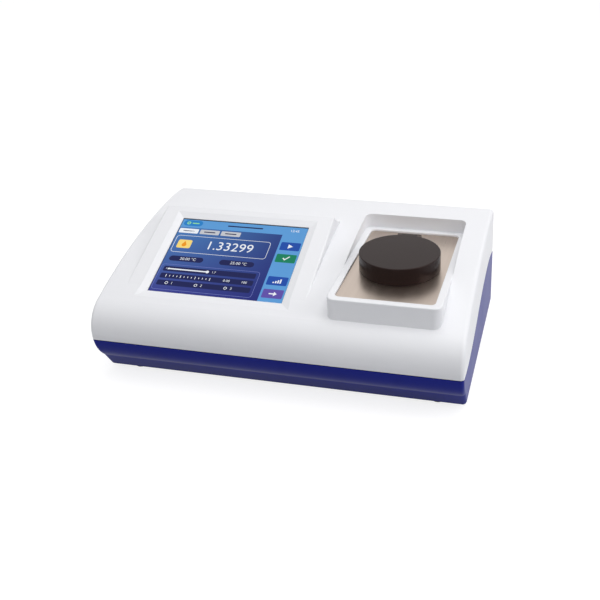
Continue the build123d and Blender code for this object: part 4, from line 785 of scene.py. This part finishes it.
def drawWindowShade(look):
    x, y, bleed = display["width"] / 2, display["height"] / 2, display["bleed"]
    outer = plainCorners(-x - bleed, -y - bleed, x + bleed, y + bleed)
    inner = plainCorners(-x + look["side"], -y + look["below"], x - look["side"], y - look["above"])
    windowShade = FlatArt()
    windowShade.addRing(outer, inner)
    windowShade.build("screenWindowShade", "windowShade", materials[look["finish"]])


drawHead()
drawTabs()
drawStrips()
drawListFrame()
drawButtons()
drawInk()
drawDrop(dropLook)
drawBadgeSign(badgeSign)
drawNotes()
drawWindowShade(windowShadeLook)
print("screen drawn")

floorLook = dict(size=8.0, seen=(0.36, 0.36, 0.36), bounced=(0.5, 0.51, 0.53), glow=0.8, rough=0.9)


# floor: it glows for the camera and in reflections, and only scatters light elsewhere
def makeFloor(look):
    mesh = bpy.data.meshes.new("floor")
    half = look["size"] / 2
    mesh.from_pydata([(x, y, 0) for x, y in plainCorners(-half, -half, half, half)], [], [(0, 1, 2, 3)])
    floor = bpy.data.objects.new("floor", mesh)
    bpy.context.scene.collection.objects.link(floor)
    material, tree, shader = newMaterial("floor")
    direct = seenDirectly(tree)
    color = mixColor(tree, direct, look["bounced"], look["seen"])
    tree.links.new(color, shader.inputs["Base Color"])
    glow = mathNode(tree, "MULTIPLY", direct, look["glow"])
    tree.links.new(glow, shader.inputs["Emission Strength"])
    shader.inputs["Emission Color"].default_value = plainWhite
    shader.inputs["Roughness"].default_value = look["rough"]
    shader.inputs["Specular IOR Level"].default_value = 0.0
    mesh.materials.append(material)


worldLook = dict(zenith=0.66, horizon=0.26, seen=1.0)


# world: white where it is seen or mirrored, else brighter overhead than at the horizon
def makeWorld(look):
    world = bpy.data.worlds.new("studio")
    bpy.context.scene.world = world
    world.use_nodes = True
    sky = world.node_tree
    sky.nodes.clear()
    direction = addNode(sky, "ShaderNodeTexCoord").outputs["Generated"]
    parts = addNode(sky, "ShaderNodeSeparateXYZ", {0: direction})
    height = mathNode(sky, "MAXIMUM", parts.outputs["Z"], 0.0)
    rise = mathNode(sky, "MULTIPLY", height, look["zenith"] - look["horizon"])
    dome = mathNode(sky, "ADD", rise, look["horizon"])
    level = addNode(sky, "ShaderNodeMix", {0: seenDirectly(sky), 2: dome, 3: look["seen"]}, data_type="FLOAT")
    background = addNode(sky, "ShaderNodeBackground", {"Color": plainWhite, "Strength": level.outputs[0]})
    output = sky.nodes.new("ShaderNodeOutputWorld")
    sky.links.new(background.outputs[0], output.inputs[0])


# soft boxes: where each one stands and what it faces, its sides in metres, its power in watts
softBoxes = {
    "overhead": dict(place=(0.35, 0.1, 1.6), aim=(0.0, 0.0, 0.05), size=(1.4, 1.4), power=11.5),
    "frontTop": dict(place=(-0.3, -1.1, 1.5), aim=(0.0, 0.0, 0.05), size=(1.2, 1.2), power=4.2),
    "rightSide": dict(place=(1.5, -0.1, 0.75), aim=(0.18, 0.0, 0.06), size=(0.9, 0.9), power=7.5),
}


def makeSoftBox(name, look):
    lamp = bpy.data.lights.new(name, "AREA")
    lamp.shape, lamp.energy = "RECTANGLE", look["power"]
    lamp.size, lamp.size_y = look["size"]
    softBox = bpy.data.objects.new(name, lamp)
    bpy.context.scene.collection.objects.link(softBox)
    softBox.location = look["place"]
    facing = Vector(look["aim"]) - Vector(look["place"])
    softBox.rotation_euler = facing.to_track_quat("-Z", "Y").to_euler()


# camera at the photograph's place: azimuth towards the stage's side, elevation and roll in degrees
view = dict(place=(0.2674, -0.7837, 0.4951), azimuth=14.0, elevation=24.24, roll=-1.38, lens=52.04,
            sensor=36.0, shift=(-0.1152, -0.1078), near=0.05, far=30.0)


# the camera's axes: back from its two angles, right level with the floor, then right and up rolled
def cameraAxes(look):
    azimuth, elevation, roll = (math.radians(look[key]) for key in ("azimuth", "elevation", "roll"))
    level = math.cos(elevation)
    back = Vector((math.sin(azimuth) * level, -math.cos(azimuth) * level, math.sin(elevation)))
    right = Vector((math.cos(azimuth), math.sin(azimuth), 0.0))
    up = back.cross(right)
    return right * math.cos(roll) + up * math.sin(roll), up * math.cos(roll) - right * math.sin(roll), back


def makeCamera(look):
    lens = bpy.data.cameras.new("camera")
    lens.lens, lens.sensor_width = look["lens"], look["sensor"]
    lens.shift_x, lens.shift_y = look["shift"]
    lens.clip_start, lens.clip_end = look["near"], look["far"]
    camera = bpy.data.objects.new("camera", lens)
    bpy.context.scene.collection.objects.link(camera)
    turned = Matrix(cameraAxes(look)).transposed().to_4x4()
    camera.matrix_world = Matrix.Translation(Vector(look["place"])) @ turned
    bpy.context.scene.camera = camera


makeFloor(floorLook)
makeWorld(worldLook)
for name, look in softBoxes.items():
    makeSoftBox(name, look)
makeCamera(view)
bpy.context.scene.view_settings.view_transform = "Standard"
print("studio set")
